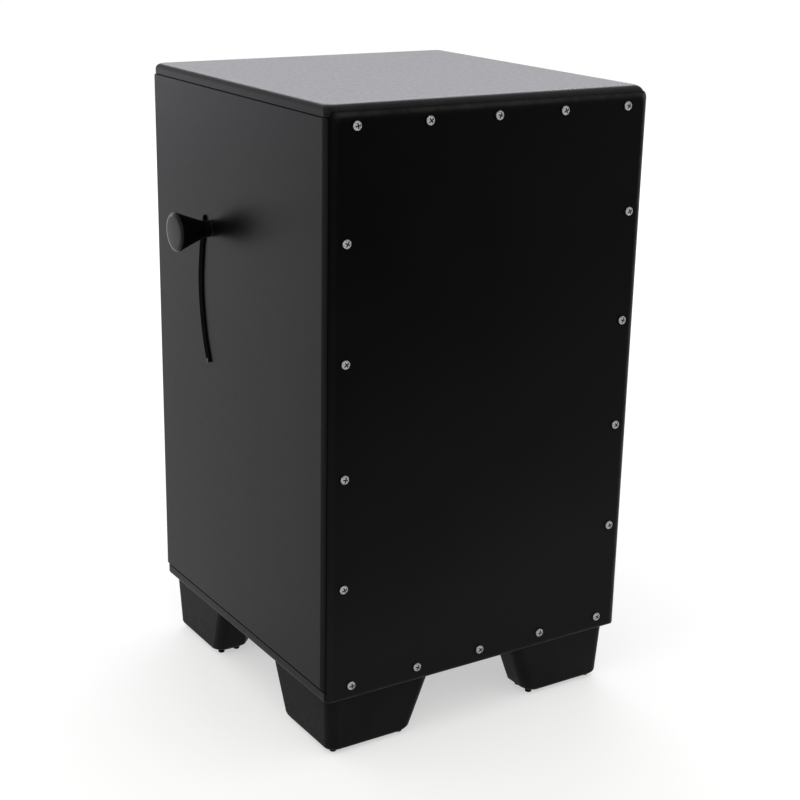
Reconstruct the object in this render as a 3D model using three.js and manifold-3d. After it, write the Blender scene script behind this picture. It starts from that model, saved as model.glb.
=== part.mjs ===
// Snare cajon: a black box drum with a screwed-on playing face, block feet, and a snare that
// a knob on the left side lifts off the inside of the playing face.
// Millimetres. The playing face looks along -Y, +X is to the right of someone facing it, +Z is up.
// The origin is on the floor, at the middle of the rectangle that the whole drum covers.
import * as THREE from 'three';
import { mergeVertices } from 'three/addons/utils/BufferGeometryUtils.js';
import Module from 'manifold-3d';

const wasm = await Module();
wasm.setup();

// Driving dimensions: the box
const boxWidth = 300; // over the side panels
const carcassDepth = 303.5; // over the side panels, without the playing face
const boxHeight = 484; // from the underside of the bottom board to the top face
const boardThickness = 9; // top, bottom and side panels
const backThickness = 6;
const tapaThickness = 4;
const footHeight = 54; // floor to the underside of the bottom board
const battenSize = 12; // square glue battens along the edges

// Driving dimensions: the snare
const rodDiameter = 16;
const spindleDiameter = 6; // the part of the knob that runs through the left panel
const rodDropFromTop = 126.8; // top face to the rod's axis
const rodOffset = 43.7; // rod's axis behind the middle of the carcass
const barRise = 52; // snare bar's middle above the rod's axis
const barSideGap = 10.7; // snare bar's ends to the battens
const knobReach = 34.5; // face of the knob to the left panel
const laceThickness = 1;

// Driving dimensions: clearances
const glueLine = 0.3; // between boards that are glued together
const seatGap = 0.3; // under a screw head and round a shank
const runningGap = 0.3; // round a turning shaft
const cutOverrun = 1; // how far a cutting shape runs past the piece that it cuts

// Levels and walls that the pieces share
const boxBottom = footHeight;
const boxTop = boxBottom + boxHeight;
const sideX = boxWidth / 2;
const innerSideX = sideX - boardThickness;
const frontY = -carcassDepth / 2;
const backY = carcassDepth / 2;
const tapaBackY = frontY - glueLine;
const tapaFrontY = tapaBackY - tapaThickness;
const floorZ = boxBottom + boardThickness;
const ceilingZ = boxTop - boardThickness;
const rodZ = boxTop - rodDropFromTop;
const rodY = rodOffset;

// Colours and surfaces
const boardPaint = { color: '#1d1c1d', roughness: 0.45, metalness: 0 };
const tapaPaint = { color: '#0f0f10', roughness: 0.4, metalness: 0 };
const rawWood = { color: '#b08d62', roughness: 0.75, metalness: 0 };
const mouldedPlastic = { color: '#141415', roughness: 0.6, metalness: 0 };
const knobLacquer = { color: '#0b0b0c', roughness: 0.15, metalness: 0 };
const zincPlate = { color: '#c4c4c2', roughness: 0.3, metalness: 1 };
const blackSteel = { color: '#2a2a2c', roughness: 0.5, metalness: 0.8 };
const brightWire = { color: '#a9a9a6', roughness: 0.35, metalness: 1 };
const bushNylon = { color: '#1a1a1b', roughness: 0.5, metalness: 0 };
const laceFibre = { color: '#131314', roughness: 0.7, metalness: 0 };

const quarterTurn = Math.PI / 2;
const cornerSteps = 3; // straight pieces in a rounded corner of an outline
const edgeSteps = 3; // straight pieces in a rounded edge
const holeSides = 16;
const pilotSides = 10;
const boreSides = 24;
const leastRadius = 0.2; // keeps a sharp corner's points apart
const up = new THREE.Vector3(0, 0, 1);

const drum = new THREE.Group();

function addPiece(name, geometry, finish, place = new THREE.Vector3(), turnZ = 0) {
  const mesh = new THREE.Mesh(geometry, new THREE.MeshStandardMaterial(finish));
  mesh.name = name;
  mesh.position.copy(place);
  mesh.rotation.z = turnZ;
  drum.add(mesh);
}

// Solids for cutting and joining
function toSolid(geometry) {
  const bare = geometry.clone();
  bare.deleteAttribute('normal');
  bare.deleteAttribute('uv');
  const welded = mergeVertices(bare);
  const vertProperties = new Float32Array(welded.attributes.position.array);
  const corners = Array.from(welded.index.array);
  const triVerts = new Uint32Array(corners.filter((_, i) => {
    const [a, b, c] = corners.slice(i - (i % 3), i - (i % 3) + 3);
    return a !== b && b !== c && c !== a; // a lathe leaves flat faces on its axis
  }));
  return new wasm.Manifold(new wasm.Mesh({ numProp: 3, vertProperties, triVerts }));
}

function toGeometry(solid) {
  const { vertProperties, triVerts } = solid.getMesh();
  const geometry = new THREE.BufferGeometry();
  geometry.setAttribute('position', new THREE.BufferAttribute(vertProperties, 3));
  geometry.setIndex(new THREE.BufferAttribute(triVerts, 1));
  return geometry;
}

function cut(geometry, tools) {
  return toGeometry(tools.reduce((solid, tool) => solid.subtract(toSolid(tool)), toSolid(geometry)));
}

function join(geometry, others) {
  return toGeometry(others.reduce((solid, other) => solid.add(toSolid(other)), toSolid(geometry)));
}

// A block between two corners
function block(low, high) {
  const size = high.clone().sub(low);
  const middle = high.clone().add(low).multiplyScalar(1 / 2);
  return new THREE.BoxGeometry(size.x, size.y, size.z).translate(middle.x, middle.y, middle.z);
}

// A round bar from start along a row axis ('x', 'y' or 'z')
function roundBar(radius, length, axis, start, sides = holeSides) {
  const bar = new THREE.CylinderGeometry(radius, radius, length, sides).translate(0, length / 2, 0);
  if (axis === 'x') bar.rotateZ(-quarterTurn);
  if (axis === 'z') bar.rotateX(quarterTurn);
  return bar.translate(start.x, start.y, start.z);
}

// The points of a convex outline whose corners, given anticlockwise, are rounded
function roundedOutline(corners, radii) {
  return corners.flatMap((corner, i) => {
    const before = corners[(i + corners.length - 1) % corners.length].clone().sub(corner).normalize();
    const after = corners[(i + 1) % corners.length].clone().sub(corner).normalize();
    const halfAngle = Math.acos(before.dot(after)) / 2;
    const radius = Math.max(radii[i], leastRadius);
    const bisector = before.clone().add(after).normalize();
    const centre = corner.clone().addScaledVector(bisector, radius / Math.sin(halfAngle));
    const first = corner.clone().addScaledVector(before, radius / Math.tan(halfAngle)).sub(centre);
    const sweep = Math.PI - 2 * halfAngle;
    return Array.from({ length: cornerSteps + 1 }, (_, step) =>
      first.clone().rotateAround(new THREE.Vector2(), (sweep * step) / cornerSteps).add(centre));
  });
}

// A closed skin through outlines of equally many points, from the lowest level to the highest
function loft(levels) {
  const count = levels[0].outline.length;
  const points = levels.flatMap(({ outline, z }) => outline.flatMap((p) => [p.x, p.y, z]));
  const faces = [];
  for (let level = 0; level + 1 < levels.length; level++) {
    for (let side = 0; side < count; side++) {
      const a = level * count + side;
      const b = level * count + ((side + 1) % count);
      faces.push(a, b, b + count, a, b + count, a + count);
    }
  }
  const lid = (levels.length - 1) * count;
  for (const [a, b, c] of THREE.ShapeUtils.triangulateShape(levels[0].outline, [])) {
    faces.push(c, b, a, lid + a, lid + b, lid + c);
  }
  const skin = new THREE.BufferGeometry();
  skin.setAttribute('position', new THREE.Float32BufferAttribute(points, 3));
  skin.setIndex(faces);
  return skin;
}

function rectangle(width, height, inset) {
  const x = width / 2 - inset;
  const y = height / 2 - inset;
  return [
    new THREE.Vector2(-x, -y),
    new THREE.Vector2(x, -y),
    new THREE.Vector2(x, y),
    new THREE.Vector2(-x, y),
  ];
}

// A board lying flat, back at z = 0, with its front edges rounded over
function board(width, height, thickness, edgeRadius, cornerRadii) {
  const level = (inset, z) => ({
    outline: roundedOutline(rectangle(width, height, inset), cornerRadii.map((radius) => radius - inset)),
    z,
  });
  const levels = [level(0, 0)];
  for (let step = 0; step <= edgeSteps; step++) {
    const angle = (quarterTurn * step) / edgeSteps;
    levels.push(level(edgeRadius * (1 - Math.cos(angle)), thickness - edgeRadius * (1 - Math.sin(angle))));
  }
  return loft(levels);
}

// A pan-head screw pointing down -Z, with the underside of its head at z = 0
function panScrew({ headRadius, headHeight, shankRadius, shankLength, pointLength }, sides) {
  const rimShare = 0.4; // straight rim of the head
  const shoulder = { radiusShare: 0.82, heightShare: 0.82 };
  const profile = [
    new THREE.Vector2(0, -shankLength),
    new THREE.Vector2(shankRadius, pointLength - shankLength),
    new THREE.Vector2(shankRadius, 0),
    new THREE.Vector2(headRadius, 0),
    new THREE.Vector2(headRadius, headHeight * rimShare),
    new THREE.Vector2(headRadius * shoulder.radiusShare, headHeight * shoulder.heightShare),
    new THREE.Vector2(0, headHeight),
  ];
  return new THREE.LatheGeometry(profile, sides).rotateX(quarterTurn);
}

// Playing face screws: a row along the top and the bottom, and a column down each side
const tapaScrew = { headRadius: 4, headHeight: 2.4, shankRadius: 1.75, shankLength: 14, pointLength: 3 };
const tapaScrewSides = 12;
const rowScrewCount = 5;
const rowInset = 22; // a row's first and last screw from the box's sides
const topRowDrop = 15; // top face to the top row
const bottomRowRise = 13.5; // underside of the bottom board to the bottom row
const columnScrewCount = 4;
const columnInset = 14; // from the box's side
const columnClearance = 87.2; // a column's first and last screw from the rows
const columnX = sideX - columnInset;

function tapaScrewPlaces() {
  const places = [];
  const topRowZ = boxTop - topRowDrop;
  const bottomRowZ = boxBottom + bottomRowRise;
  const rowPitch = (boxWidth - 2 * rowInset) / (rowScrewCount - 1);
  for (const z of [topRowZ, bottomRowZ]) {
    for (let i = 0; i < rowScrewCount; i++) {
      places.push(new THREE.Vector3(rowInset - sideX + i * rowPitch, 0, z));
    }
  }
  const lowest = bottomRowZ + columnClearance;
  const columnPitch = (topRowZ - columnClearance - lowest) / (columnScrewCount - 1);
  for (const x of [-columnX, columnX]) {
    for (let i = 0; i < columnScrewCount; i++) {
      places.push(new THREE.Vector3(x, 0, lowest + i * columnPitch));
    }
  }
  return places;
}

// Holes from the front for those screws, from a level y and as deep as asked
function tapaScrewHoles(y, depth) {
  const radius = tapaScrew.shankRadius + seatGap;
  return tapaScrewPlaces().map((place) => roundBar(radius, depth, 'y', place.setY(y), pilotSides));
}

const pilotDepth = tapaScrew.shankLength - tapaThickness + seatGap; // into the battens

function addTapaScrews() {
  tapaScrewPlaces().forEach((place, i) => {
    const screw = panScrew(tapaScrew, tapaScrewSides).rotateX(quarterTurn);
    place.y = tapaFrontY - seatGap;
    addPiece(`tapa_screw_${String(i + 1).padStart(2, '0')}`, screw, zincPlate, place);
  });
}

// Top and bottom boards, laid over and under the side panels
const topEdgeRadius = 5;
const bottomEdgeRadius = 2.5;
const rearCornerRadius = 5;
const frontCornerRadius = 1.5; // behind the playing face
const cornerRadii = [frontCornerRadius, frontCornerRadius, rearCornerRadius, rearCornerRadius];

function addTopBoard() {
  const shape = board(boxWidth, carcassDepth, boardThickness, topEdgeRadius, cornerRadii);
  addPiece('top_board', shape, boardPaint, new THREE.Vector3(0, 0, ceilingZ));
}

// Feet: moulded corner blocks on round glides, tapering towards the floor
const foot = {
  glideHeight: 3,
  glideRadius: 3,
  topInset: 5, // outer faces in from the box, at the top
  bottomInset: 7.5,
  topReach: 107, // ends of the two legs from the box's corner, at the top
  bottomReach: 88.5,
  topEndWidth: 31, // across the end of a leg, at the top
  bottomEndWidth: 28,
  chamfer: 4, // slope under the ends
  softEdge: 3.9, // rounding under the outer faces
  cornerRadius: 9, // of the upright edge at the box's corner
  endRadius: 10, // of the outer upright edges at the ends of the legs
  innerRadius: 4,
  glideInset: 8.5, // glide's middle from the outer faces, at the bottom
  glideEndInset: 4, // glide's middle from the ends of the legs and from their inner faces
};
const footSetback = 1.5; // foot's corner from the front of the playing face and from the back
const footScrew = { headRadius: 5, headHeight: 3, shankRadius: 2.5, shankLength: 15, pointLength: 3 };
const footScrewSides = 12;
const footWeb = 8; // plastic left above the screw head
const footBoreRadius = 7;
const footScrewShare = 0.42; // place of the screw along the leg's length from the box's corner

// Corners of a foot at a level, with the box's corner at the origin and the legs along +x and +y
function footCorners(inset, reach, endWidth) {
  return [
    new THREE.Vector2(inset, inset),
    new THREE.Vector2(reach, inset),
    new THREE.Vector2(reach, inset + endWidth),
    new THREE.Vector2(inset + endWidth, reach),
    new THREE.Vector2(inset, reach),
  ];
}

function footShape() {
  const blockHeight = footHeight - seatGap - foot.glideHeight;
  const { cornerRadius, endRadius, innerRadius } = foot;
  const radii = [cornerRadius, endRadius, innerRadius, innerRadius, endRadius];
  const level = (share, inset, chamfer) => {
    const lerp = THREE.MathUtils.lerp;
    const corners = footCorners(
      lerp(foot.bottomInset, foot.topInset, share) + inset,
      lerp(foot.bottomReach, foot.topReach, share) - chamfer,
      lerp(foot.bottomEndWidth, foot.topEndWidth, share) - 2 * inset,
    );
    return { outline: roundedOutline(corners, radii), z: foot.glideHeight + share * blockHeight };
  };
  const chamferShare = foot.chamfer / blockHeight;
  const softShare = foot.softEdge / blockHeight;
  const shape = loft([
    level(0, foot.softEdge, foot.chamfer),
    level(softShare, 0, foot.chamfer - foot.softEdge),
    level(chamferShare, 0, 0),
    level(1, 0, 0),
  ]);
  return join(cut(shape, footCuts()), footGlides());
}

function footScrewPlace() {
  return new THREE.Vector3(foot.topReach * footScrewShare, foot.topReach * footScrewShare, 0);
}

function footCuts() {
  const { x, y } = footScrewPlace();
  const webZ = footHeight - seatGap - footWeb;
  const shankHole = footScrew.shankRadius + seatGap;
  return [
    roundBar(footBoreRadius, webZ, 'z', new THREE.Vector3(x, y, 0)),
    roundBar(shankHole, footHeight, 'z', new THREE.Vector3(x, y, foot.glideHeight)),
  ];
}

function footGlides() {
  const near = foot.bottomInset + foot.glideInset;
  const far = foot.bottomReach - foot.chamfer - foot.glideEndInset;
  const inner = foot.bottomInset + foot.bottomEndWidth - foot.glideEndInset;
  const places = [[near, near], [far, near], [far, inner], [inner, far], [near, far]];
  const height = foot.glideHeight + cutOverrun;
  return places.map(([x, y]) =>
    roundBar(foot.glideRadius, height, 'z', new THREE.Vector3(x, y, 0), pilotSides));
}

// The box's corner and the turn of each foot
function footPlaces() {
  const frontFootY = tapaFrontY + footSetback;
  const rearFootY = backY - footSetback;
  return [
    { side: 'front_left', corner: new THREE.Vector3(-sideX, frontFootY, 0), turn: 0 },
    { side: 'front_right', corner: new THREE.Vector3(sideX, frontFootY, 0), turn: quarterTurn },
    { side: 'rear_right', corner: new THREE.Vector3(sideX, rearFootY, 0), turn: 2 * quarterTurn },
    { side: 'rear_left', corner: new THREE.Vector3(-sideX, rearFootY, 0), turn: -quarterTurn },
  ];
}

function footScrewCentre({ corner, turn }) {
  return footScrewPlace().applyAxisAngle(up, turn).add(corner);
}

function addFeet() {
  const shape = footShape();
  const screw = panScrew(footScrew, footScrewSides).rotateX(Math.PI);
  for (const place of footPlaces()) {
    addPiece(`foot_${place.side}`, shape, mouldedPlastic, place.corner, place.turn);
    const centre = footScrewCentre(place);
    centre.z = footHeight - seatGap - footWeb - seatGap;
    addPiece(`foot_screw_${place.side}`, screw, zincPlate, centre);
  }
}

function addBottomBoard() {
  const shape = board(boxWidth, carcassDepth, boardThickness, bottomEdgeRadius, cornerRadii);
  shape.rotateX(Math.PI).rotateZ(Math.PI).translate(0, 0, floorZ);
  const depth = footScrew.shankLength - footWeb;
  const radius = footScrew.shankRadius + seatGap;
  const holes = footPlaces().map((place) => {
    const centre = footScrewCentre(place);
    centre.z = boxBottom - cutOverrun;
    return roundBar(radius, depth + cutOverrun, 'z', centre, pilotSides);
  });
  addPiece('bottom_board', cut(shape, holes), boardPaint);
}

// Side panels, with small bevels that leave a fine groove under the top board
const panelBevel = 1.3;
const panelCorner = 1.5;
const sidePanelHeight = ceilingZ - floorZ - 2 * glueLine;
const bush = {
  outerRadius: 5.5,
  flangeRadius: 11,
  flangeThickness: 2.5,
};

function sidePanel() {
  const corners = [panelCorner, panelCorner, panelCorner, panelCorner];
  const panel = board(carcassDepth, sidePanelHeight, boardThickness, panelBevel, corners);
  return panel.rotateX(quarterTurn).rotateZ(quarterTurn);
}

function addSidePanels() {
  const middleZ = (floorZ + ceilingZ) / 2;
  const right = sidePanel().translate(innerSideX, 0, middleZ);
  addPiece('right_side_panel', cut(right, bearingScrewHoles()), boardPaint);
  const left = sidePanel().rotateZ(Math.PI).translate(-innerSideX, 0, middleZ);
  const start = new THREE.Vector3(-sideX - cutOverrun, rodY, rodZ);
  const depth = boardThickness + 2 * cutOverrun;
  const bushHole = roundBar(bush.outerRadius + seatGap, depth, 'x', start, boreSides);
  addPiece('left_side_panel', cut(left, [bushHole]), boardPaint);
}

// Playing face, over the whole front of the box
const tapaTopDrop = 4; // top face down to its upper edge
const tapaEdgeRadius = 3.5;
const tapaCornerRadius = 3;

function addTapa() {
  const height = boxHeight - tapaTopDrop;
  const corners = [tapaCornerRadius, tapaCornerRadius, tapaCornerRadius, tapaCornerRadius];
  const face = board(boxWidth, height, tapaThickness, tapaEdgeRadius, corners).rotateX(quarterTurn);
  face.translate(0, tapaBackY, boxBottom + height / 2);
  const holes = tapaScrewHoles(tapaFrontY - cutOverrun, tapaThickness + 2 * cutOverrun);
  addPiece('tapa', cut(face, holes), tapaPaint);
}

// Glue battens: the front ones take the playing face's screws, the rear ones carry the back
const backRecess = 3; // back panel's outer face in from the rear edges
const backPanelY = backY - backRecess - backThickness; // its inner face

function addBattens() {
  const low = floorZ + glueLine;
  const high = ceilingZ - glueLine;
  const reach = innerSideX - glueLine;
  const holes = tapaScrewHoles(frontY - cutOverrun, pilotDepth + cutOverrun);
  const rows = [
    { side: 'front', y: frontY, tools: holes },
    { side: 'rear', y: backPanelY - glueLine - battenSize, tools: [] },
  ];
  const step = battenSize + glueLine;
  for (const { side, y, tools } of rows) {
    const corners = {
      top: [-reach, high - battenSize, reach, high],
      bottom: [-reach, low, reach, low + battenSize],
      left: [-reach, low + step, -reach + battenSize, high - step],
      right: [reach - battenSize, low + step, reach, high - step],
    };
    for (const [end, [x1, z1, x2, z2]] of Object.entries(corners)) {
      const bar = block(new THREE.Vector3(x1, y, z1), new THREE.Vector3(x2, y + battenSize, z2));
      addPiece(`${side}_${end}_batten`, cut(bar, tools), rawWood);
    }
  }
}

// Back panel with the round sound hole
const soundHoleRadius = 60;
const soundHoleEase = 1.5; // bevel on both rims of the hole
const soundHoleRise = 242; // underside of the bottom board to the hole's middle
const soundHoleSides = 40;

function addBackPanel() {
  const reach = innerSideX - glueLine;
  const low = new THREE.Vector3(-reach, backPanelY, floorZ + glueLine);
  const high = new THREE.Vector3(reach, backPanelY + backThickness, ceilingZ - glueLine);
  const wide = soundHoleRadius + soundHoleEase;
  const waist = backThickness - 2 * soundHoleEase;
  const profile = [
    new THREE.Vector2(0, -cutOverrun),
    new THREE.Vector2(wide + cutOverrun, -cutOverrun),
    new THREE.Vector2(soundHoleRadius, soundHoleEase),
    new THREE.Vector2(soundHoleRadius, soundHoleEase + waist),
    new THREE.Vector2(wide + cutOverrun, backThickness + cutOverrun),
    new THREE.Vector2(0, backThickness + cutOverrun),
  ];
  const hole = new THREE.LatheGeometry(profile, soundHoleSides);
  hole.translate(0, backPanelY, boxBottom + soundHoleRise);
  addPiece('back_panel', cut(block(low, high), [hole]), boardPaint);
}

// Knob: a turned cone on a spindle that runs through the left panel into the snare rod
const knob = {
  rimRadius: 16.5,
  rimWidth: 1,
  faceRadius: 11.9,
  faceCrown: 0.4,
  shoulderDrop: 1.7, // from the face's edge back to the rim
  shoulderRadius: 15.1, // middle of the rounded shoulder
  baseRadius: 8, // collar at the panel end
  baseWidth: 1,
  baseEase: 0.3,
  neckRadius: 7.2,
  neckStart: 7, // narrow end of the cone, from the panel
  flareRadius: 11.4, // bends the cone slightly hollow
  flareDrop: 15.1, // of that place, from the face
};
const neckEnd = seatGap + laceThickness + seatGap; // end of the neck, from the panel
const knobSides = 28;
const coneSteps = 6;
const shoulderShare = 0.7; // of the shoulder's drop that its middle has climbed
const spindleGrip = 22; // length of spindle inside the rod
const rodGap = 0.5; // end play of the rod
const rodLeftX = -innerSideX + glueLine + bush.flangeThickness + rodGap;

// Points at a radius and a distance out from the left panel's outer face
function knobProfile() {
  const at = (radius, out) => new THREE.Vector2(radius, out);
  const spindleEnd = -(sideX + rodLeftX + spindleGrip);
  const faceEdge = knobReach - knob.faceCrown;
  const rimFront = faceEdge - knob.shoulderDrop;
  const rimBack = rimFront - knob.rimWidth;
  const cone = new THREE.QuadraticBezierCurve(
    at(knob.neckRadius, knob.neckStart),
    at(knob.flareRadius, knobReach - knob.flareDrop),
    at(knob.rimRadius, rimBack),
  );
  return [
    at(0, spindleEnd),
    at(spindleDiameter / 2, spindleEnd),
    at(spindleDiameter / 2, neckEnd),
    at(knob.baseRadius - knob.baseEase, neckEnd),
    at(knob.baseRadius, neckEnd + knob.baseEase),
    at(knob.baseRadius, neckEnd + knob.baseWidth),
    at(knob.neckRadius, neckEnd + knob.baseWidth),
    ...cone.getPoints(coneSteps),
    at(knob.rimRadius, rimFront),
    at(knob.shoulderRadius, rimFront + knob.shoulderDrop * shoulderShare),
    at(knob.faceRadius, faceEdge),
    at(knob.faceRadius / 2, knobReach - knob.faceCrown / 4),
    at(0, knobReach),
  ];
}

function addKnob() {
  // the lathe's axis is turned to point out of the left panel
  const turned = new THREE.LatheGeometry(knobProfile(), knobSides).rotateZ(quarterTurn);
  addPiece('knob', turned.translate(-sideX, rodY, rodZ), knobLacquer);
}

// Bush in the left panel that the spindle turns in
function addBush() {
  const bore = spindleDiameter / 2 + runningGap;
  const inner = -innerSideX + glueLine;
  const profile = [
    new THREE.Vector2(bore, 0),
    new THREE.Vector2(bush.outerRadius, 0),
    new THREE.Vector2(bush.outerRadius, boardThickness + glueLine),
    new THREE.Vector2(bush.flangeRadius, boardThickness + glueLine),
    new THREE.Vector2(bush.flangeRadius, boardThickness + glueLine + bush.flangeThickness),
    new THREE.Vector2(bore, boardThickness + glueLine + bush.flangeThickness),
    new THREE.Vector2(bore, 0),
  ];
  const sleeve = new THREE.LatheGeometry(profile, boreSides).rotateZ(-quarterTurn);
  sleeve.translate(inner - glueLine - boardThickness, rodY, rodZ);
  addPiece('spindle_bush', sleeve, bushNylon);
}

// Bearing block on the right panel, with a blind hole for the rod's end
const bearing = { width: 44, thickness: 18, boreDepth: 13, edge: 3 };
const bearingScrew = { headRadius: 3.6, headHeight: 2.2, shankRadius: 1.75, shankLength: 24, pointLength: 3 };
const bearingScrewInset = 7;
const smallScrewSides = 10;
const blockFaceX = innerSideX - glueLine - bearing.thickness;

function bearingScrewPlaces() {
  const out = bearing.width / 2 - bearingScrewInset;
  return [-out, out].map((offset) => new THREE.Vector3(blockFaceX - seatGap, rodY, rodZ + offset));
}

// One hole runs through the block and on into the panel
function bearingScrewHoles() {
  const radius = bearingScrew.shankRadius + seatGap;
  const length = bearingScrew.shankLength + cutOverrun + seatGap;
  return bearingScrewPlaces().map((place) =>
    roundBar(radius, length, 'x', place.setX(place.x - cutOverrun), pilotSides));
}

function addBearingBlock() {
  const corners = [bearing.edge, bearing.edge, bearing.edge, bearing.edge];
  const outline = roundedOutline(rectangle(bearing.width, bearing.width, 0), corners);
  const solid = loft([{ outline, z: 0 }, { outline, z: bearing.thickness }]).rotateY(quarterTurn);
  solid.translate(blockFaceX, rodY, rodZ);
  const mouth = new THREE.Vector3(blockFaceX - cutOverrun, rodY, rodZ);
  const bore = roundBar(rodDiameter / 2 + runningGap, bearing.boreDepth + cutOverrun, 'x', mouth, boreSides);
  addPiece('bearing_block', cut(solid, [bore, ...bearingScrewHoles()]), rawWood);
  bearingScrewPlaces().forEach((place, i) => {
    const screw = panScrew(bearingScrew, smallScrewSides).rotateY(-quarterTurn);
    addPiece(`bearing_screw_${i + 1}`, screw, zincPlate, place);
  });
}

// Snare bar: a batten across the drum, hollowed in front so that only its ends carry the strands
const strandRadius = 0.8;
const strandCount = 12;
const strandPitch = 2.4;
const strandSides = 6;
const endPlate = {
  width: 14,
  thickness: 1.2,
  inset: 6, // from the bar's end
  overhang: 9, // past the ends of the strands
  margin: 1.8, // above and below the strands
};
const snareBar = { height: 22, endThickness: 10, middleThickness: 6, endLength: 28, ramp: 14 };
const barEndX = innerSideX - glueLine - battenSize - barSideGap;
const strandEndX = barEndX - endPlate.inset - endPlate.overhang;
const barZ = rodZ + barRise;
const strandY = tapaBackY + seatGap + strandRadius;
const barFrontY = strandY + endPlate.thickness + seatGap;
const barBackY = barFrontY + snareBar.endThickness;

// Arms: steel straps from hubs on the rod to tabs behind the snare bar
const arm = {
  thickness: 3,
  inset: 12, // from the bar's end
  hubRadius: 13,
  hubLength: 12,
  rootWidth: 16,
  tipWidth: 12,
  tabLength: 20,
  tabHeight: 20,
  tabThickness: 3,
  tabScrewInset: 11.5,
};
const armX = barEndX - arm.inset;
const tabFrontY = barBackY + seatGap;
const tabBackY = tabFrontY + arm.tabThickness;
const hubScrew = { headRadius: 3.6, headHeight: 2.2, shankRadius: 1.75, shankLength: 9, pointLength: 2 };
const tabScrew = { headRadius: 3.6, headHeight: 2.2, shankRadius: 1.75, shankLength: 10, pointLength: 2 };
const hubScrewY = rodY + arm.hubRadius + seatGap;
const sides = [
  { name: 'left', sign: -1 },
  { name: 'right', sign: 1 },
];

const tabScrewX = armX + arm.thickness / 2 - arm.tabScrewInset;

function hubScrewHole(sign) {
  const length = hubScrew.shankLength + cutOverrun + seatGap;
  const start = new THREE.Vector3(sign * armX, hubScrewY + cutOverrun - length, rodZ);
  return roundBar(hubScrew.shankRadius + seatGap, length, 'y', start, pilotSides);
}

function tabScrewHole(sign) {
  const length = tabScrew.shankLength + cutOverrun + seatGap;
  const start = new THREE.Vector3(sign * tabScrewX, tabBackY + cutOverrun - length, barZ);
  return roundBar(tabScrew.shankRadius + seatGap, length, 'y', start, pilotSides);
}

function armStrap(x) {
  // outline across the drum's side: forward from the rod, and up
  const reach = rodY - tabBackY + arm.tabThickness / 2;
  const lean = new THREE.Vector2(reach, barRise).normalize();
  const root = new THREE.Vector2(-lean.y, lean.x).multiplyScalar(arm.rootWidth / 2);
  const outline = new THREE.Shape([
    root.clone().negate(),
    new THREE.Vector2(reach, barRise - arm.tipWidth / 2),
    new THREE.Vector2(reach, barRise + arm.tipWidth / 2),
    root,
  ]);
  const strap = new THREE.ExtrudeGeometry(outline, { depth: arm.thickness, bevelEnabled: false });
  strap.translate(0, 0, -arm.thickness / 2);
  const forward = new THREE.Vector3(0, -1, 0);
  strap.applyMatrix4(new THREE.Matrix4().makeBasis(forward, up, forward.clone().cross(up)));
  return strap.translate(x, rodY, rodZ);
}

function addArms() {
  for (const { name, sign } of sides) {
    const x = sign * armX;
    const hubStart = new THREE.Vector3(x - arm.hubLength / 2, rodY, rodZ);
    const hub = roundBar(arm.hubRadius, arm.hubLength, 'x', hubStart, boreSides);
    const outer = x + (sign * arm.thickness) / 2;
    const inner = outer - sign * arm.tabLength;
    const tab = block(
      new THREE.Vector3(Math.min(outer, inner), tabFrontY, barZ - arm.tabHeight / 2),
      new THREE.Vector3(Math.max(outer, inner), tabBackY, barZ + arm.tabHeight / 2),
    );
    const boreStart = hubStart.clone().setX(hubStart.x - cutOverrun);
    const boreLength = arm.hubLength + 2 * cutOverrun;
    const bore = roundBar(rodDiameter / 2 + seatGap, boreLength, 'x', boreStart, boreSides);
    const shape = cut(join(armStrap(x), [hub, tab]), [bore, hubScrewHole(sign), tabScrewHole(sign)]);
    addPiece(`${name}_arm`, shape, blackSteel);
    const hubPlace = new THREE.Vector3(x, hubScrewY, rodZ);
    const hubHead = panScrew(hubScrew, smallScrewSides).rotateX(-quarterTurn);
    addPiece(`${name}_hub_screw`, hubHead, zincPlate, hubPlace);
    const tabPlace = new THREE.Vector3(sign * tabScrewX, tabBackY + seatGap, barZ);
    const tabHead = panScrew(tabScrew, smallScrewSides).rotateX(-quarterTurn);
    addPiece(`${name}_tab_screw`, tabHead, zincPlate, tabPlace);
  }
}

// Flush screws that hold the end plates on the bar
const plateScrew = { headRadius: 3, headDepth: 1.8, shankRadius: 1.5, shankLength: 8 };
const plateScrewX = strandEndX + endPlate.overhang / 2;

function flatScrew(grow, rise) {
  const profile = [
    new THREE.Vector2(0, -plateScrew.shankLength - grow),
    new THREE.Vector2(plateScrew.shankRadius + grow, -plateScrew.shankLength - grow),
    new THREE.Vector2(plateScrew.shankRadius + grow, -plateScrew.headDepth - grow),
    new THREE.Vector2(plateScrew.headRadius + grow, -grow),
    new THREE.Vector2(plateScrew.headRadius + grow, rise),
    new THREE.Vector2(0, rise),
  ];
  return new THREE.LatheGeometry(profile, smallScrewSides).rotateX(Math.PI);
}

function plateScrewHole(sign) {
  return flatScrew(seatGap, cutOverrun).translate(sign * plateScrewX, strandY, barZ);
}

function addSnareBar() {
  const { height, endThickness, middleThickness, endLength, ramp } = snareBar;
  const hollowY = barFrontY + endThickness - middleThickness;
  const shoulderX = barEndX - endLength;
  const outline = new THREE.Shape([
    new THREE.Vector2(-barEndX, barFrontY),
    new THREE.Vector2(-shoulderX, barFrontY),
    new THREE.Vector2(-shoulderX + ramp, hollowY),
    new THREE.Vector2(shoulderX - ramp, hollowY),
    new THREE.Vector2(shoulderX, barFrontY),
    new THREE.Vector2(barEndX, barFrontY),
    new THREE.Vector2(barEndX, barBackY),
    new THREE.Vector2(-barEndX, barBackY),
  ]);
  const solid = new THREE.ExtrudeGeometry(outline, { depth: height, bevelEnabled: false });
  solid.translate(0, 0, barZ - height / 2);
  const holes = sides.flatMap(({ sign }) => [tabScrewHole(sign), plateScrewHole(sign)]);
  addPiece('snare_bar', cut(solid, holes), rawWood);
}

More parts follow.
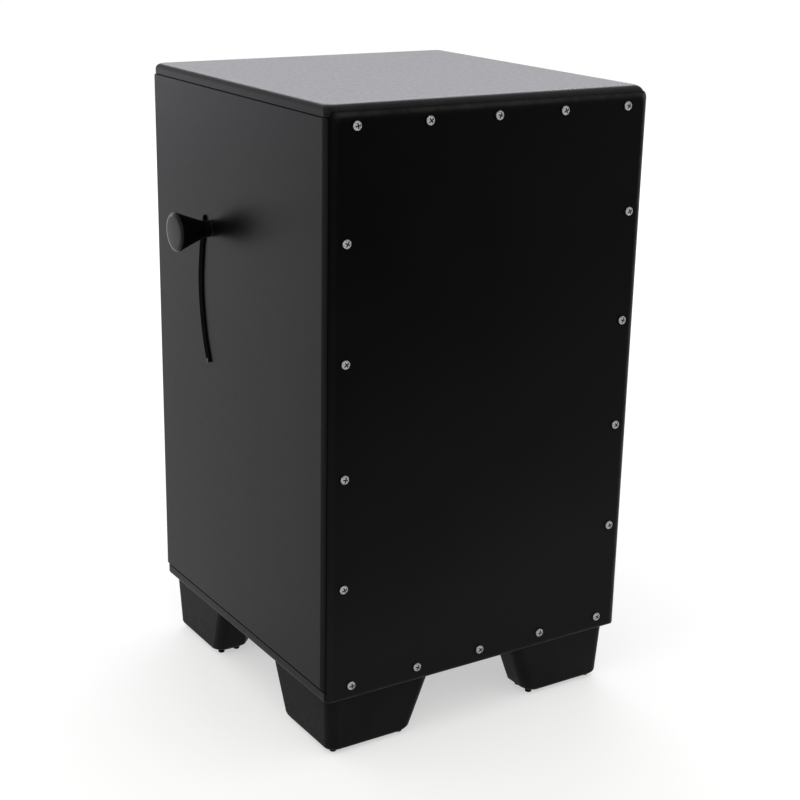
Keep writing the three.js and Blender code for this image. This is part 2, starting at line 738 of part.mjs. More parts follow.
// Snare strands side by side, soldered into an end plate at each end
function addSnareStrands() {
  const stack = (strandCount - 1) * strandPitch;
  const plateHalf = stack / 2 + strandRadius + endPlate.margin;
  const strands = Array.from({ length: strandCount }, (_, i) => {
    const start = new THREE.Vector3(-strandEndX, strandY, barZ - stack / 2 + i * strandPitch);
    return roundBar(strandRadius, 2 * strandEndX, 'x', start, strandSides);
  });
  const plates = sides.map(({ sign }) => {
    const outer = sign * (strandEndX + endPlate.overhang);
    const inner = outer - sign * endPlate.width;
    return block(
      new THREE.Vector3(Math.min(outer, inner), strandY, barZ - plateHalf),
      new THREE.Vector3(Math.max(outer, inner), strandY + endPlate.thickness, barZ + plateHalf),
    );
  });
  const joined = join(plates[0], [plates[1], ...strands]);
  addPiece('snare_strands', cut(joined, sides.map(({ sign }) => plateScrewHole(sign))), brightWire);
  for (const { name, sign } of sides) {
    const place = new THREE.Vector3(sign * plateScrewX, strandY, barZ);
    addPiece(`${name}_plate_screw`, flatScrew(0, 0), zincPlate, place);
  }
}

// Snare rod: a dowel from the knob's spindle to the bearing block
const grubScrew = { radius: 2, place: 11 }; // place along the rod from its left end

function addSnareRod() {
  const radius = rodDiameter / 2;
  const rightX = blockFaceX + bearing.boreDepth - rodGap;
  const dowel = roundBar(radius, rightX - rodLeftX, 'x', new THREE.Vector3(rodLeftX, rodY, rodZ), boreSides);
  const socketRadius = spindleDiameter / 2 + seatGap;
  const socketStart = new THREE.Vector3(rodLeftX - cutOverrun, rodY, rodZ);
  const socket = roundBar(socketRadius, spindleGrip + seatGap + cutOverrun, 'x', socketStart, boreSides);
  const grubX = rodLeftX + grubScrew.place;
  const grubMiddle = new THREE.Vector3(grubX, rodY, rodZ);
  const grubHole = roundBar(grubScrew.radius + seatGap, radius + cutOverrun, 'z', grubMiddle);
  const holes = sides.map(({ sign }) => hubScrewHole(sign));
  addPiece('snare_rod', cut(dowel, [socket, grubHole, ...holes]), rawWood);
  const grubStart = new THREE.Vector3(grubX, rodY, rodZ + socketRadius);
  const grub = roundBar(grubScrew.radius, radius - socketRadius, 'z', grubStart, smallScrewSides);
  addPiece('spindle_grub_screw', grub, blackSteel);
}

// Flat lace caught under the knob's collar: it hangs down the left panel beside the spindle,
// with a short end above it. Places are behind and above the rod's axis.
const laceWidth = 7.5;
const laceSteps = 16;
const laceRoute = [
  [9.2, 10.6],
  [9.6, 5.7],
  [10.8, -0.3],
  [12.8, -6.8],
  [15.3, -13.9],
  [17.2, -24.3],
  [18.9, -37.3],
  [19.9, -49.3],
  [19.4, -65.3],
  [16.9, -83.8],
  [13.1, -100.8],
  [6.4, -119.6],
];

function addLace() {
  const middle = -sideX - seatGap - laceThickness / 2;
  const points = laceRoute.map(([back, rise]) => new THREE.Vector3(middle, rodY + back, rodZ + rise));
  const edgeShare = 0.4; // flat part of the lace's edges
  const faceShare = 0.9; // flat part of its faces
  const across = laceWidth / 2;
  const through = laceThickness / 2;
  const section = [
    [through * edgeShare, across],
    [through, across * faceShare],
    [through, -across * faceShare],
    [through * edgeShare, -across],
    [-through * edgeShare, -across],
    [-through, -across * faceShare],
    [-through, across * faceShare],
    [-through * edgeShare, across],
  ].map(([x, y]) => new THREE.Vector2(x, y));
  const options = { steps: laceSteps, extrudePath: new THREE.CatmullRomCurve3(points) };
  addPiece('lace', new THREE.ExtrudeGeometry(new THREE.Shape(section), options), laceFibre);
}

addTopBoard();
addBottomBoard();
addSidePanels();
addTapa();
addTapaScrews();
addBattens();
addBackPanel();
addFeet();
addBush();
addBearingBlock();
addKnob();
addSnareRod();
addArms();
addSnareBar();
addSnareStrands();
addLace();

// The knob and the screw heads reach past the box, so the box stands off the origin
const screwReach = seatGap + tapaScrew.headHeight;
drum.position.set(knobReach / 2, (screwReach - tapaFrontY - backY) / 2, 0);

export default drum;
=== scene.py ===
import math

import bmesh
import bpy
from mathutils import Matrix, Vector


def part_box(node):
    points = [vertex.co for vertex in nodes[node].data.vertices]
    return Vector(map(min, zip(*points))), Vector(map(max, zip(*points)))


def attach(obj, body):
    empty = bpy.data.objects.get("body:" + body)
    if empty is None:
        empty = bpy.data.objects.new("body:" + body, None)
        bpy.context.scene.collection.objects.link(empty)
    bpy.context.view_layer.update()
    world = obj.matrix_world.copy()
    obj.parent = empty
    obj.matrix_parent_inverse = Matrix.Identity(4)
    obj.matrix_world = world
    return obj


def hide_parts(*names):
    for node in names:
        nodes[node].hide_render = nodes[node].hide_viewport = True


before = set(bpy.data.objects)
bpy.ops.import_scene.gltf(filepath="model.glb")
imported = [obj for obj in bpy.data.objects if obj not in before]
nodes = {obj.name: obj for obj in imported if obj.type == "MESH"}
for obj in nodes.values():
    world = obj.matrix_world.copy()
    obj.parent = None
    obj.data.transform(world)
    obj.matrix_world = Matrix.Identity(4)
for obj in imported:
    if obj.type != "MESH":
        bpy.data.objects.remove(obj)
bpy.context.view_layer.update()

mm = 0.001  # sizes are in millimetres where they are multiplied by this, and places are in metres
tiny = 1e-9  # keeps divisions away from zero
print("snare cajon: frame loaded,", len(nodes), "parts")


# Camera and light

cameraView = {
    "place": (-0.717535, -1.159916, 0.696605),
    "azimuth": -32.803,
    "elevation": 18.064,
    "roll": 1.152,
    "lens": 72.271,
    "sensorWidth": 36,
}

studio = {
    "worldStrength": 0.92,  # light on everything that isn't seen directly or mirrored
    "backdrop": 1.0,
    "floorSize": 15.0,  # half width
    "floorColour": (0.56, 0.555, 0.545, 1),
    "floorRoughness": 0.9,
    "floorLift": 0.5,  # brings the lit floor up to paper white in the picture
    "lamps": {
        "rearSoftbox": {
            "at": (1.6, 2.6, 1.9), "aim": (0.02, 0.0, 0.45), "size": (2.6, 1.2),
            "power": 37, "colour": (0.91, 0.905, 1.0),
        },
        "leftSoftbox": {
            "at": (-2.2, -0.5, 1.5), "aim": (-0.1, 0.0, 0.35), "size": (0.9, 1.4),
            "power": 6, "colour": (1.0, 1.0, 1.0),
        },
        "farPanel": {  # mirrored by the left side's upper rear corner
            "at": (-1.08, 2.7, 0.36), "aim": (-0.13, 0.12, 0.5), "size": (0.6, 0.5),
            "power": 2.4, "colour": (0.8, 0.8, 1.0),
        },
        "farFloorLamp": {  # lights the floor that the side mirrors farther down
            "at": (-0.72, 1.7, 0.75), "aim": (-0.72, 1.7, 0.0), "size": (0.4, 0.4),
            "power": 3.2, "colour": (0.94, 0.94, 1.0),
        },
    },
}


def setCamera():
    lens = bpy.data.cameras.new("photoCamera")
    lens.lens = cameraView["lens"]
    lens.sensor_width = cameraView["sensorWidth"]
    camera = bpy.data.objects.new("photoCamera", lens)
    bpy.context.scene.collection.objects.link(camera)
    turn = (
        Matrix.Rotation(math.radians(cameraView["azimuth"]), 4, "Z")
        @ Matrix.Rotation(math.radians(90 - cameraView["elevation"]), 4, "X")
        @ Matrix.Rotation(math.radians(cameraView["roll"]), 4, "Z")
    )
    camera.matrix_world = Matrix.Translation(cameraView["place"]) @ turn
    bpy.context.scene.camera = camera


def addShader(tree, kind, values=None, **settings):
    node = tree.nodes.new("ShaderNode" + kind)
    for key, value in settings.items():
        setattr(node, key, value)
    for key, value in (values or {}).items():
        node.inputs[key].default_value = value
    return node


def seenDirectly(tree):
    # 1 for what the camera sees, straight or in a mirror or through glass
    path = addShader(tree, "LightPath")
    both = addShader(tree, "Math", operation="MAXIMUM")
    tree.links.new(path.outputs["Is Camera Ray"], both.inputs[0])
    tree.links.new(path.outputs["Is Glossy Ray"], both.inputs[1])
    seen = addShader(tree, "Math", operation="MAXIMUM")
    tree.links.new(both.outputs[0], seen.inputs[0])
    tree.links.new(path.outputs["Is Transmission Ray"], seen.inputs[1])
    return seen.outputs[0]


def setWorld(scene):
    world = bpy.data.worlds.new("studioAir")
    scene.world = world
    world.use_nodes = True
    tree = world.node_tree
    background = tree.nodes["Background"]
    background.inputs["Color"].default_value = (1, 1, 1, 1)
    levels = {"To Min": studio["worldStrength"], "To Max": studio["backdrop"]}
    strength = addShader(tree, "MapRange", levels)
    tree.links.new(seenDirectly(tree), strength.inputs["Value"])
    tree.links.new(strength.outputs["Result"], background.inputs["Strength"])


def setLamps(scene):
    for name, lamp in studio["lamps"].items():
        light = bpy.data.lights.new(name, "AREA")
        light.shape = "RECTANGLE"
        light.size, light.size_y = lamp["size"]
        light.energy = lamp["power"]
        light.color = lamp["colour"]
        holder = bpy.data.objects.new(name, light)
        scene.collection.objects.link(holder)
        aim = Vector(lamp["aim"]) - Vector(lamp["at"])
        turn = aim.to_track_quat("-Z", "Y").to_matrix().to_4x4()
        holder.matrix_world = Matrix.Translation(lamp["at"]) @ turn


def setFloor(scene):
    half = studio["floorSize"]
    corners = [(-half, -half, 0), (half, -half, 0), (half, half, 0), (-half, half, 0)]
    mesh = bpy.data.meshes.new("studioFloor")
    mesh.from_pydata(corners, [], [(0, 1, 2, 3)])
    floor = bpy.data.objects.new("studioFloor", mesh)
    scene.collection.objects.link(floor)
    paper = bpy.data.materials.new("studioPaper")
    paper.use_nodes = True
    tree = paper.node_tree
    shader = tree.nodes["Principled BSDF"]
    shader.inputs["Base Color"].default_value = studio["floorColour"]
    shader.inputs["Roughness"].default_value = studio["floorRoughness"]
    shader.inputs["Specular IOR Level"].default_value = 0.0
    shader.inputs["Emission Color"].default_value = (1, 1, 1, 1)
    lift = combine(tree, "MULTIPLY", seenDirectly(tree), studio["floorLift"])
    tree.links.new(lift, shader.inputs["Emission Strength"])
    mesh.materials.append(paper)


def setStudio():
    scene = bpy.context.scene
    scene.view_settings.view_transform = "Standard"
    setWorld(scene)
    setLamps(scene)
    setFloor(scene)


# Finishes. Textures work in metres, in the drum's own space, so a scale of 1000 is one millimetre.

def newFinish(name, specular=0.5, metallic=0.0):
    material = bpy.data.materials.new(name)
    material.use_nodes = True
    tree = material.node_tree
    shader = tree.nodes["Principled BSDF"]
    shader.inputs["Specular IOR Level"].default_value = specular
    shader.inputs["Metallic"].default_value = metallic
    return material, tree, shader


def drumSpace(tree, stretch=(1, 1, 1)):
    place = addShader(tree, "TexCoord")
    mapping = addShader(tree, "Mapping", {"Scale": stretch})
    tree.links.new(place.outputs["Object"], mapping.inputs["Vector"])
    return mapping.outputs["Vector"]


def noise(tree, where, scale, detail=3.0, roughness=0.5, distortion=0.0):
    texture = addShader(
        tree, "TexNoise",
        {"Scale": scale, "Detail": detail, "Roughness": roughness, "Distortion": distortion},
    )
    tree.links.new(where, texture.inputs["Vector"])
    return texture.outputs["Fac"]


def spread(tree, value, low, high, fromLow=0.3, fromHigh=0.7):
    span = addShader(
        tree, "MapRange",
        {"From Min": fromLow, "From Max": fromHigh, "To Min": low, "To Max": high},
    )
    tree.links.new(value, span.inputs["Value"])
    return span.outputs["Result"]


def blendColours(tree, factor, first, second):
    mix = addShader(tree, "Mix", data_type="RGBA")
    tree.links.new(factor, mix.inputs["Factor"])
    for value, socket in ((first, mix.inputs[6]), (second, mix.inputs[7])):
        if isinstance(value, tuple):
            socket.default_value = (*value, 1)
        else:
            tree.links.new(value, socket)
    return mix.outputs[2]


def combine(tree, kind, first, second):
    node = addShader(tree, "Math", operation=kind)
    for i, value in enumerate((first, second)):
        if isinstance(value, (int, float)):
            node.inputs[i].default_value = value
        else:
            tree.links.new(value, node.inputs[i])
    return node.outputs[0]


def bump(tree, height, depth, before=None):
    # depth in metres
    node = addShader(tree, "Bump", {"Distance": depth})
    tree.links.new(height, node.inputs["Height"])
    if before:
        tree.links.new(before, node.inputs["Normal"])
    return node.outputs["Normal"]


def rubAndHighlightMask(tree, space, rubAndHighlight):
    # where edges are worn and carry a painted highlight: the mesh says how much, and noise breaks it up
    worn = addShader(tree, "Attribute", attribute_name="edgeRubAndHighlight").outputs["Fac"]
    patches = spread(tree, noise(tree, space, *rubAndHighlight["noise"]), rubAndHighlight["least"], 1, *rubAndHighlight["span"])
    return combine(tree, "MULTIPLY", worn, patches)


def connect(tree, shader, **values):
    sockets = {"colour": "Base Color", "rough": "Roughness", "relief": "Normal"}
    for key, value in values.items():
        tree.links.new(value, shader.inputs[sockets[key]])


paint = {
    "black": (0.0010, 0.0010, 0.0011),
    "worn": (0.0022, 0.0022, 0.0023),  # the lighter of its clouds
    "cloudNoise": (9, 4),  # a noise is its scale, detail and roughness, here and below
    "edgeDustAndHighlight": (0.009, 0.0088, 0.0086),  # dust and painted highlight on rubbed edges
    "rubAndHighlight": {"noise": (60, 5, 0.65), "least": 0, "span": (0.35, 0.75)},
    "sheen": 0.095,
    "roughness": (0.31, 0.38),
    "roughnessNoise": (240, 4, 0.6),
    "rubbedRougher": 0.06,
    "swellNoise": (26, 1),
    "swellDepth": 0.00006,
    "peelNoise": (620, 2),  # orange peel from the spray gun
    "peelDepth": 0.000012,
}


def boardPaint():
    material, tree, shader = newFinish("satinBlackPaint", paint["sheen"])
    space = drumSpace(tree)
    cloud = noise(tree, space, *paint["cloudNoise"])
    tone = blendColours(tree, spread(tree, cloud, 0, 1), paint["black"], paint["worn"])
    rubAndHighlight = rubAndHighlightMask(tree, space, paint["rubAndHighlight"])
    rougher = combine(tree, "MULTIPLY", rubAndHighlight, paint["rubbedRougher"])
    fine = noise(tree, space, *paint["roughnessNoise"])
    swell = bump(tree, noise(tree, space, *paint["swellNoise"]), paint["swellDepth"])
    connect(
        tree, shader,
        colour=blendColours(tree, rubAndHighlight, tone, paint["edgeDustAndHighlight"]),
        rough=combine(tree, "ADD", spread(tree, fine, *paint["roughness"]), rougher),
        relief=bump(tree, noise(tree, space, *paint["peelNoise"]), paint["peelDepth"], swell),
    )
    return material


tapaLook = {
    "black": (0.0013, 0.0013, 0.0012),
    "paintedFloorLight": (0.0112, 0.0108, 0.0107),  # painted light: the face lightens towards its foot, standing in for the floor's reflection there
    "paintedFloorLightHeights": (0.08, 0.52),
    "paintedFloorLightPower": 2.1,
    "paintedFloorLightToRight": (0.28, -0.13, 0.165),  # how much more painted light towards the right, and from which x to which
    "cloudNoise": (7, 5, 0.55),
    "cloud": 0.06,
    # painted highlight along the face's rounded edges, with a little edge rub
    "edgeHighlightAndRub": (0.074, 0.070, 0.070),
    "rubAndHighlight": {"noise": (70, 5, 0.65), "least": 0.35, "span": (0.35, 0.75)},
    "sheen": 0.02,
    "roughness": (0.33, 0.42),
    "roughnessNoise": (300, 4, 0.6),
    "pores": (1400, 1400, 60),  # the veneer's pores show faintly through the lacquer, upright
    "poreNoise": (1, 3, 0.6),
    "poreDepth": 0.000012,
}


def tapaPaint():
    material, tree, shader = newFinish("mattBlackLacquer", tapaLook["sheen"])
    space = drumSpace(tree)
    split = addShader(tree, "SeparateXYZ")
    tree.links.new(space, split.inputs[0])
    # painted light: lighter towards the foot and the right of the face, standing in for the floor's
    # reflection
    height = spread(tree, split.outputs["Z"], 1, 0, *tapaLook["paintedFloorLightHeights"])
    more, fromX, toX = tapaLook["paintedFloorLightToRight"]
    side = spread(tree, split.outputs["X"], 0, more, fromX, toX)
    patches = noise(tree, space, *tapaLook["cloudNoise"])
    cloud = spread(tree, patches, -tapaLook["cloud"], tapaLook["cloud"])
    paintedFloorLight = combine(tree, "ADD", combine(tree, "POWER", height, tapaLook["paintedFloorLightPower"]), side)
    tone = blendColours(tree, combine(tree, "ADD", paintedFloorLight, cloud), tapaLook["black"], tapaLook["paintedFloorLight"])
    fine = noise(tree, space, *tapaLook["roughnessNoise"])
    pores = noise(tree, drumSpace(tree, tapaLook["pores"]), *tapaLook["poreNoise"])
    connect(
        tree, shader,
        colour=blendColours(tree, rubAndHighlightMask(tree, space, tapaLook["rubAndHighlight"]), tone, tapaLook["edgeHighlightAndRub"]),
        rough=spread(tree, fine, *tapaLook["roughness"]),
        relief=bump(tree, pores, tapaLook["poreDepth"]),
    )
    return material


wood = {
    "light": (0.56, 0.40, 0.24),
    "dark": (0.36, 0.23, 0.12),
    "fleck": (0.24, 0.14, 0.07),
    "specular": 0.3,
    "stretches": {"x": (5, 90, 90), "y": (90, 5, 90), "z": (90, 90, 5)},
    "bandNoise": (1, 5, 0.6, 0.8),
    "fibreNoise": (1, 3, 0.6),
    "finer": 12,  # how much finer the fibres are than the bands
    "flecks": (0, 0.7, 0.55, 0.8),
    "roughness": (0.6, 0.82),
    "fibreDepth": 0.00008,
}


def rawWood(grain):
    material, tree, shader = newFinish("rawWood" + grain.upper(), wood["specular"])
    stretch = wood["stretches"][grain]
    bands = noise(tree, drumSpace(tree, stretch), *wood["bandNoise"])
    finer = tuple(wood["finer"] * s for s in stretch)
    fibre = noise(tree, drumSpace(tree, finer), *wood["fibreNoise"])
    tone = blendColours(tree, spread(tree, bands, 0, 1), wood["light"], wood["dark"])
    connect(
        tree, shader,
        colour=blendColours(tree, spread(tree, fibre, *wood["flecks"]), tone, wood["fleck"]),
        rough=spread(tree, fibre, *wood["roughness"]),
        relief=bump(tree, fibre, wood["fibreDepth"]),
    )
    return material


mottledLooks = {
    "lappedEdgeLacquer": {  # the face's matt lacquer, lapped round onto the side's front edge
        "specular": 0.026, "metallic": 0.0, "mottle": (12, 5),
        "tones": ((0.0018, 0.0018, 0.0018), (0.0034, 0.0034, 0.0034)),
        "roughness": (0.36, 0.46), "roughnessNoise": (260, 4, 0.6),
        "relief": (900, 3), "reliefDepth": 0.00002,
    },
    "mouldedBlackPlastic": {
        "specular": 0.07, "metallic": 0.0, "mottle": (30, 4),
        "tones": ((0.0024, 0.0024, 0.0025), (0.0049, 0.0048, 0.0048)),
        "edgeDustAndHighlight": (0.010, 0.0098, 0.0096),
        "rubAndHighlight": {"noise": (90, 5, 0.65), "least": 0, "span": (0.4, 0.8)},
        "roughness": (0.44, 0.58), "roughnessNoise": (500, 3),
        "relief": (1500, 2, 0.6), "reliefDepth": 0.00004,
    },
    "glossBlackLacquer": {
        "specular": 0.1, "metallic": 0.0, "mottle": (160, 4),
        "tones": ((0.0018, 0.0018, 0.0018), (0.0036, 0.0036, 0.0036)),
        "roughness": (0.09, 0.19), "roughnessNoise": (420, 4, 0.6),
        "relief": (520, 2), "reliefDepth": 0.00004,
    },
    "zincPlate": {
        "specular": 0.5, "metallic": 1.0, "mottle": (700, 4),
        "tones": ((0.13, 0.134, 0.146), (0.52, 0.525, 0.54)),
        "roughness": (0.2, 0.42), "roughnessNoise": (1600, 3),
        "relief": (1900, 3), "reliefDepth": 0.00003,
    },
    "paintedRecessShade": {  # painted shade: the cross recess is coloured darker than the plated head
        "specular": 0.4, "metallic": 0.6, "mottle": (900, 4),
        "tones": ((0.025, 0.026, 0.030), (0.085, 0.086, 0.095)),
        "roughness": (0.4, 0.65), "roughnessNoise": (1500, 3),
        "relief": (1800, 3), "reliefDepth": 0.00003,
    },
    "blackenedSteel": {
        "specular": 0.5, "metallic": 0.85, "mottle": (90, 5, 0.6),
        "tones": ((0.022, 0.022, 0.024), (0.06, 0.058, 0.056)),
        "roughness": (0.36, 0.6), "roughnessNoise": (400, 4),
        "relief": (1100, 3), "reliefDepth": 0.00004,
    },
    "blackNylon": {
        "specular": 0.3, "metallic": 0.0, "mottle": (200, 4),
        "tones": ((0.004, 0.004, 0.004), (0.009, 0.009, 0.009)),
        "roughness": (0.4, 0.6), "roughnessNoise": (700, 3),
        "relief": (1300, 2), "reliefDepth": 0.00003,
    },
}


def mottledFinish(name):
    look = mottledLooks[name]
    material, tree, shader = newFinish(name, look["specular"], look["metallic"])
    space = drumSpace(tree)
    mottle = spread(tree, noise(tree, space, *look["mottle"]), 0, 1)
    tone = blendColours(tree, mottle, *look["tones"])
    if "rubAndHighlight" in look:
        tone = blendColours(tree, rubAndHighlightMask(tree, space, look["rubAndHighlight"]), tone, look["edgeDustAndHighlight"])
    connect(
        tree, shader,
        colour=tone,
        rough=spread(tree, noise(tree, space, *look["roughnessNoise"]), *look["roughness"]),
        relief=bump(tree, noise(tree, space, *look["relief"]), look["reliefDepth"]),
    )
    return material


wireLook = {
    "coilScale": 350,
    # painted shade: darker bands between the coil's turns
    "tones": ((0.20, 0.20, 0.20), (0.66, 0.66, 0.65)),
    "coilDepth": 0.0002,
    "roughness": (0.24, 0.42),
    "roughnessNoise": (900, 3),
}


def snareWire():
    material, tree, shader = newFinish("coiledSnareWire", metallic=1.0)
    space = drumSpace(tree)
    scales = {"Scale": wireLook["coilScale"], "Distortion": 0}
    wave = addShader(tree, "TexWave", scales, bands_direction="X")
    tree.links.new(space, wave.inputs["Vector"])
    coil = wave.outputs["Fac"]
    connect(
        tree, shader,
        colour=blendColours(tree, coil, *wireLook["tones"]),
        rough=spread(tree, noise(tree, space, *wireLook["roughnessNoise"]), *wireLook["roughness"]),
        relief=bump(tree, coil, wireLook["coilDepth"]),
    )
    return material


laceLook = {
    "thread": (0.0024, 0.0024, 0.0026),
    # painted shade in the gaps between the plaited threads
    "gapShade": (0.0010, 0.0010, 0.0011),
    # painted highlight: a bluish white glint on the back edge of the lace's lower end
    "endHighlight": (0.20, 0.20, 0.25),
    "specular": 0.004,
    "pick": 1.1,  # millimetres between the plaited threads
    "plaitSpan": (-0.4, 1),
    "plaitShare": 0.8,
    "fuzzShare": 0.3,
    "fuzzNoise": (2600, 3),
    "roughness": (0.5, 0.75),
    "plaitDepth": 0.00025,
}


def laceFibre(endHighlight=False):
    material, tree, shader = newFinish("laceEndHighlight" if endHighlight else "plaitedLace", laceLook["specular"])
    place = addShader(tree, "UVMap", uv_map="alongLace")
    split = addShader(tree, "SeparateXYZ")
    tree.links.new(place.outputs["UV"], split.inputs[0])
    # two sets of threads that cross over at a slant, in millimetres round and along the lace
    slants = []
    for sign in (1, -1):
        lean = combine(tree, "MULTIPLY", split.outputs["X"], sign)
        slanted = combine(tree, "ADD", split.outputs["Y"], lean)
        turns = combine(tree, "MULTIPLY", slanted, 2 * math.pi / laceLook["pick"])
        slants.append(combine(tree, "SINE", turns, 0))
    plait = spread(tree, combine(tree, "MAXIMUM", *slants), 0, 1, *laceLook["plaitSpan"])
    fuzz = noise(tree, drumSpace(tree), *laceLook["fuzzNoise"])
    plait = combine(
        tree, "ADD",
        combine(tree, "MULTIPLY", plait, laceLook["plaitShare"]),
        combine(tree, "MULTIPLY", fuzz, laceLook["fuzzShare"]),
    )
    connect(
        tree, shader,
        colour=blendColours(tree, plait, laceLook["gapShade"], laceLook["endHighlight" if endHighlight else "thread"]),
        rough=spread(tree, fuzz, *laceLook["roughness"]),
        relief=bump(tree, plait, laceLook["plaitDepth"]),
    )
    return material


# Shapes

facings = {  # across, up and out for each side of the drum
    "top": ((1, 0, 0), (0, 1, 0), (0, 0, 1)),
    "bottom": ((-1, 0, 0), (0, 1, 0), (0, 0, -1)),
    "right": ((0, 1, 0), (0, 0, 1), (1, 0, 0)),
    "left": ((0, -1, 0), (0, 0, 1), (-1, 0, 0)),
    "front": ((1, 0, 0), (0, 0, 1), (0, -1, 0)),
    "back": ((-1, 0, 0), (0, 0, 1), (0, 1, 0)),
}


def towards(facing, place=(0, 0, 0), turn=0.0):
    # a frame whose own Z looks out of that side of the drum
    across, up, out = facings[facing]
    frameMatrix = Matrix((across, up, out)).transposed().to_4x4()
    return Matrix.Translation(place) @ frameMatrix @ Matrix.Rotation(turn, 4, "Z")


def roundedOutline(corners, radii, steps):
    points = []
    count = len(corners)
    for i, corner in enumerate(corners):
        here = Vector(corner)
        before = (Vector(corners[i - 1]) - here).normalized()
        after = (Vector(corners[(i + 1) % count]) - here).normalized()
        half = math.acos(max(-1, min(1, before.dot(after)))) / 2
        centre = here + (before + after).normalized() * radii[i] / math.sin(half)
        first = here + before * radii[i] / math.tan(half) - centre
        sweep = math.pi - 2 * half
        for step in range(steps + 1):
            points.append(centre + Matrix.Rotation(sweep * step / steps, 2) @ first)
    return points


def loft(bm, rings, closed=False, rubAndHighlight=None):
    # skins over the rings; one value for each ring says how worn it is and how much painted edge highlight
    # it carries
    layer = bm.verts.layers.float.get("edgeRubAndHighlight") or bm.verts.layers.float.new("edgeRubAndHighlight")
    rows = []
    for i, ring in enumerate(rings):
        row = [bm.verts.new(point) for point in ring]
        for vert in row:
            vert[layer] = rubAndHighlight[i] if rubAndHighlight else 0.0
        rows.append(row)
    count = len(rows[0])
    pairs = list(zip(rows, rows[1:])) + ([(rows[-1], rows[0])] if closed else [])
    for low, high in pairs:
        for i in range(count):
            j = (i + 1) % count
            bm.faces.new((low[i], low[j], high[j], high[i]))
    if closed:
        return rows, []
    return rows, [bm.faces.new(list(reversed(rows[0]))), bm.faces.new(rows[-1])]


def turned(bm, profile, sides, closed=False):
    # profile is (radius, height) pairs in millimetres round the local Z axis
    rings = []
    for radius, height in profile:
        radius, height = radius * mm, height * mm
        angles = [2 * math.pi * i / sides for i in range(sides)]
        rings.append([Vector((radius * math.cos(a), radius * math.sin(a), height)) for a in angles])
    return loft(bm, rings, closed)


def arc(centre, radius, start, end, steps):
    # (radius, height) points on a part of a circle, angles in degrees
    angles = [math.radians(start + (end - start) * i / steps) for i in range(steps + 1)]
    return [(centre[0] + radius * math.cos(a), centre[1] + radius * math.sin(a)) for a in angles]


def newMesh(name, bm, matrix=None, finishes=(), smooth=38):
    if matrix:
        bmesh.ops.transform(bm, matrix=matrix, verts=bm.verts)
    bmesh.ops.recalc_face_normals(bm, faces=bm.faces)
    mesh = bpy.data.meshes.new(name)
    bm.to_mesh(mesh)
    bm.free()
    for finish in finishes:
        mesh.materials.append(finish)
    mesh.shade_smooth()
    mesh.set_sharp_from_angle(angle=math.radians(smooth))
    return mesh


def placePiece(name, mesh, replaced, body="box", matrix=None, weighted=True):
    piece = bpy.data.objects.new(name, mesh)
    bpy.context.scene.collection.objects.link(piece)
    if matrix:
        piece.matrix_world = matrix
    if weighted:
        flats = piece.modifiers.new("flatFaces", "WEIGHTED_NORMAL")
        flats.keep_sharp = True
    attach(piece, body)
    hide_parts(*replaced)
    return piece


def cutAway(mesh, cutterMesh, smooth):
    # takes the cutter's shape out of the mesh, for good
    body = bpy.data.objects.new("cutBody", mesh)
    cutter = bpy.data.objects.new("cutTool", cutterMesh)
    for helper in (body, cutter):
        bpy.context.scene.collection.objects.link(helper)
    tool = body.modifiers.new("cut", "BOOLEAN")
    tool.operation = "DIFFERENCE"
    tool.solver = "EXACT"
    tool.object = cutter
    bpy.context.view_layer.update()
    whole = body.evaluated_get(bpy.context.evaluated_depsgraph_get())
    result = bpy.data.meshes.new_from_object(whole)
    result.name = mesh.name
    for helper in (body, cutter):
        bpy.data.objects.remove(helper)
    result.shade_smooth()
    result.set_sharp_from_angle(angle=math.radians(smooth))
    return result


setCamera()
setStudio()


# Flat plaited lace, caught under the knob's collar: a short pointed end above, and the long
# one hanging down the left panel

lace = {
    "axis": (-0.13355, 0.0472, 0.4112),  # the rod's axis, level with the lace's middle
    "width": 7.5,
    "thickness": 1.0,
    "length": 0.1325,  # metres
    "route": [  # behind and above the rod's axis, millimetres
        (9.2, 10.6), (9.6, 5.7), (10.8, -0.3), (12.8, -6.8), (15.3, -13.9), (17.2, -24.3), (18.9, -37.3),
        (19.9, -49.3), (19.4, -65.3), (16.9, -83.8), (13.1, -100.8), (6.4, -119.6),
    ],
    "stepsBetween": 5,
    "edgeRound": 0.7,  # of half the thickness
    "edgeSteps": 5,
    "tip": {"place": 0.2, "frontCut": 6.2, "backCut": 4.0},  # the point, and how far the cuts run down
    "cutRings": 9,  # outlines that the cuts run over
    "highlightedEnd": {"rings": 1, "fromWidth": 0.15, "fromFace": 0.9},  # painted highlight on the back edge of the lower end
}


def smoothRoute(points, stepsBetween):
    # centripetal spline through the points
    ends = [points[0] * 2 - points[1]] + points + [points[-1] * 2 - points[-2]]
    line = []
    for i in range(1, len(ends) - 2):
        a, b, c, d = ends[i - 1:i + 3]
        gaps = [max((q - p).length, tiny) ** 0.5 for p, q in ((a, b), (b, c), (c, d))]
        t1 = gaps[0]
        t2 = t1 + gaps[1]
        t3 = t2 + gaps[2]
        for step in range(stepsBetween):
            t = t1 + (t2 - t1) * step / stepsBetween
            a1 = a * (t1 - t) / t1 + b * t / t1
            a2 = b * (t2 - t) / (t2 - t1) + c * (t - t1) / (t2 - t1)
            a3 = c * (t3 - t) / (t3 - t2) + d * (t - t2) / (t3 - t2)
            b1 = a1 * (t2 - t) / t2 + a2 * t / t2
            b2 = a2 * (t3 - t) / (t3 - t1) + a3 * (t - t1) / (t3 - t1)
            line.append(b1 * (t2 - t) / (t2 - t1) + b2 * (t - t1) / (t2 - t1))
    return line + [points[-1]]


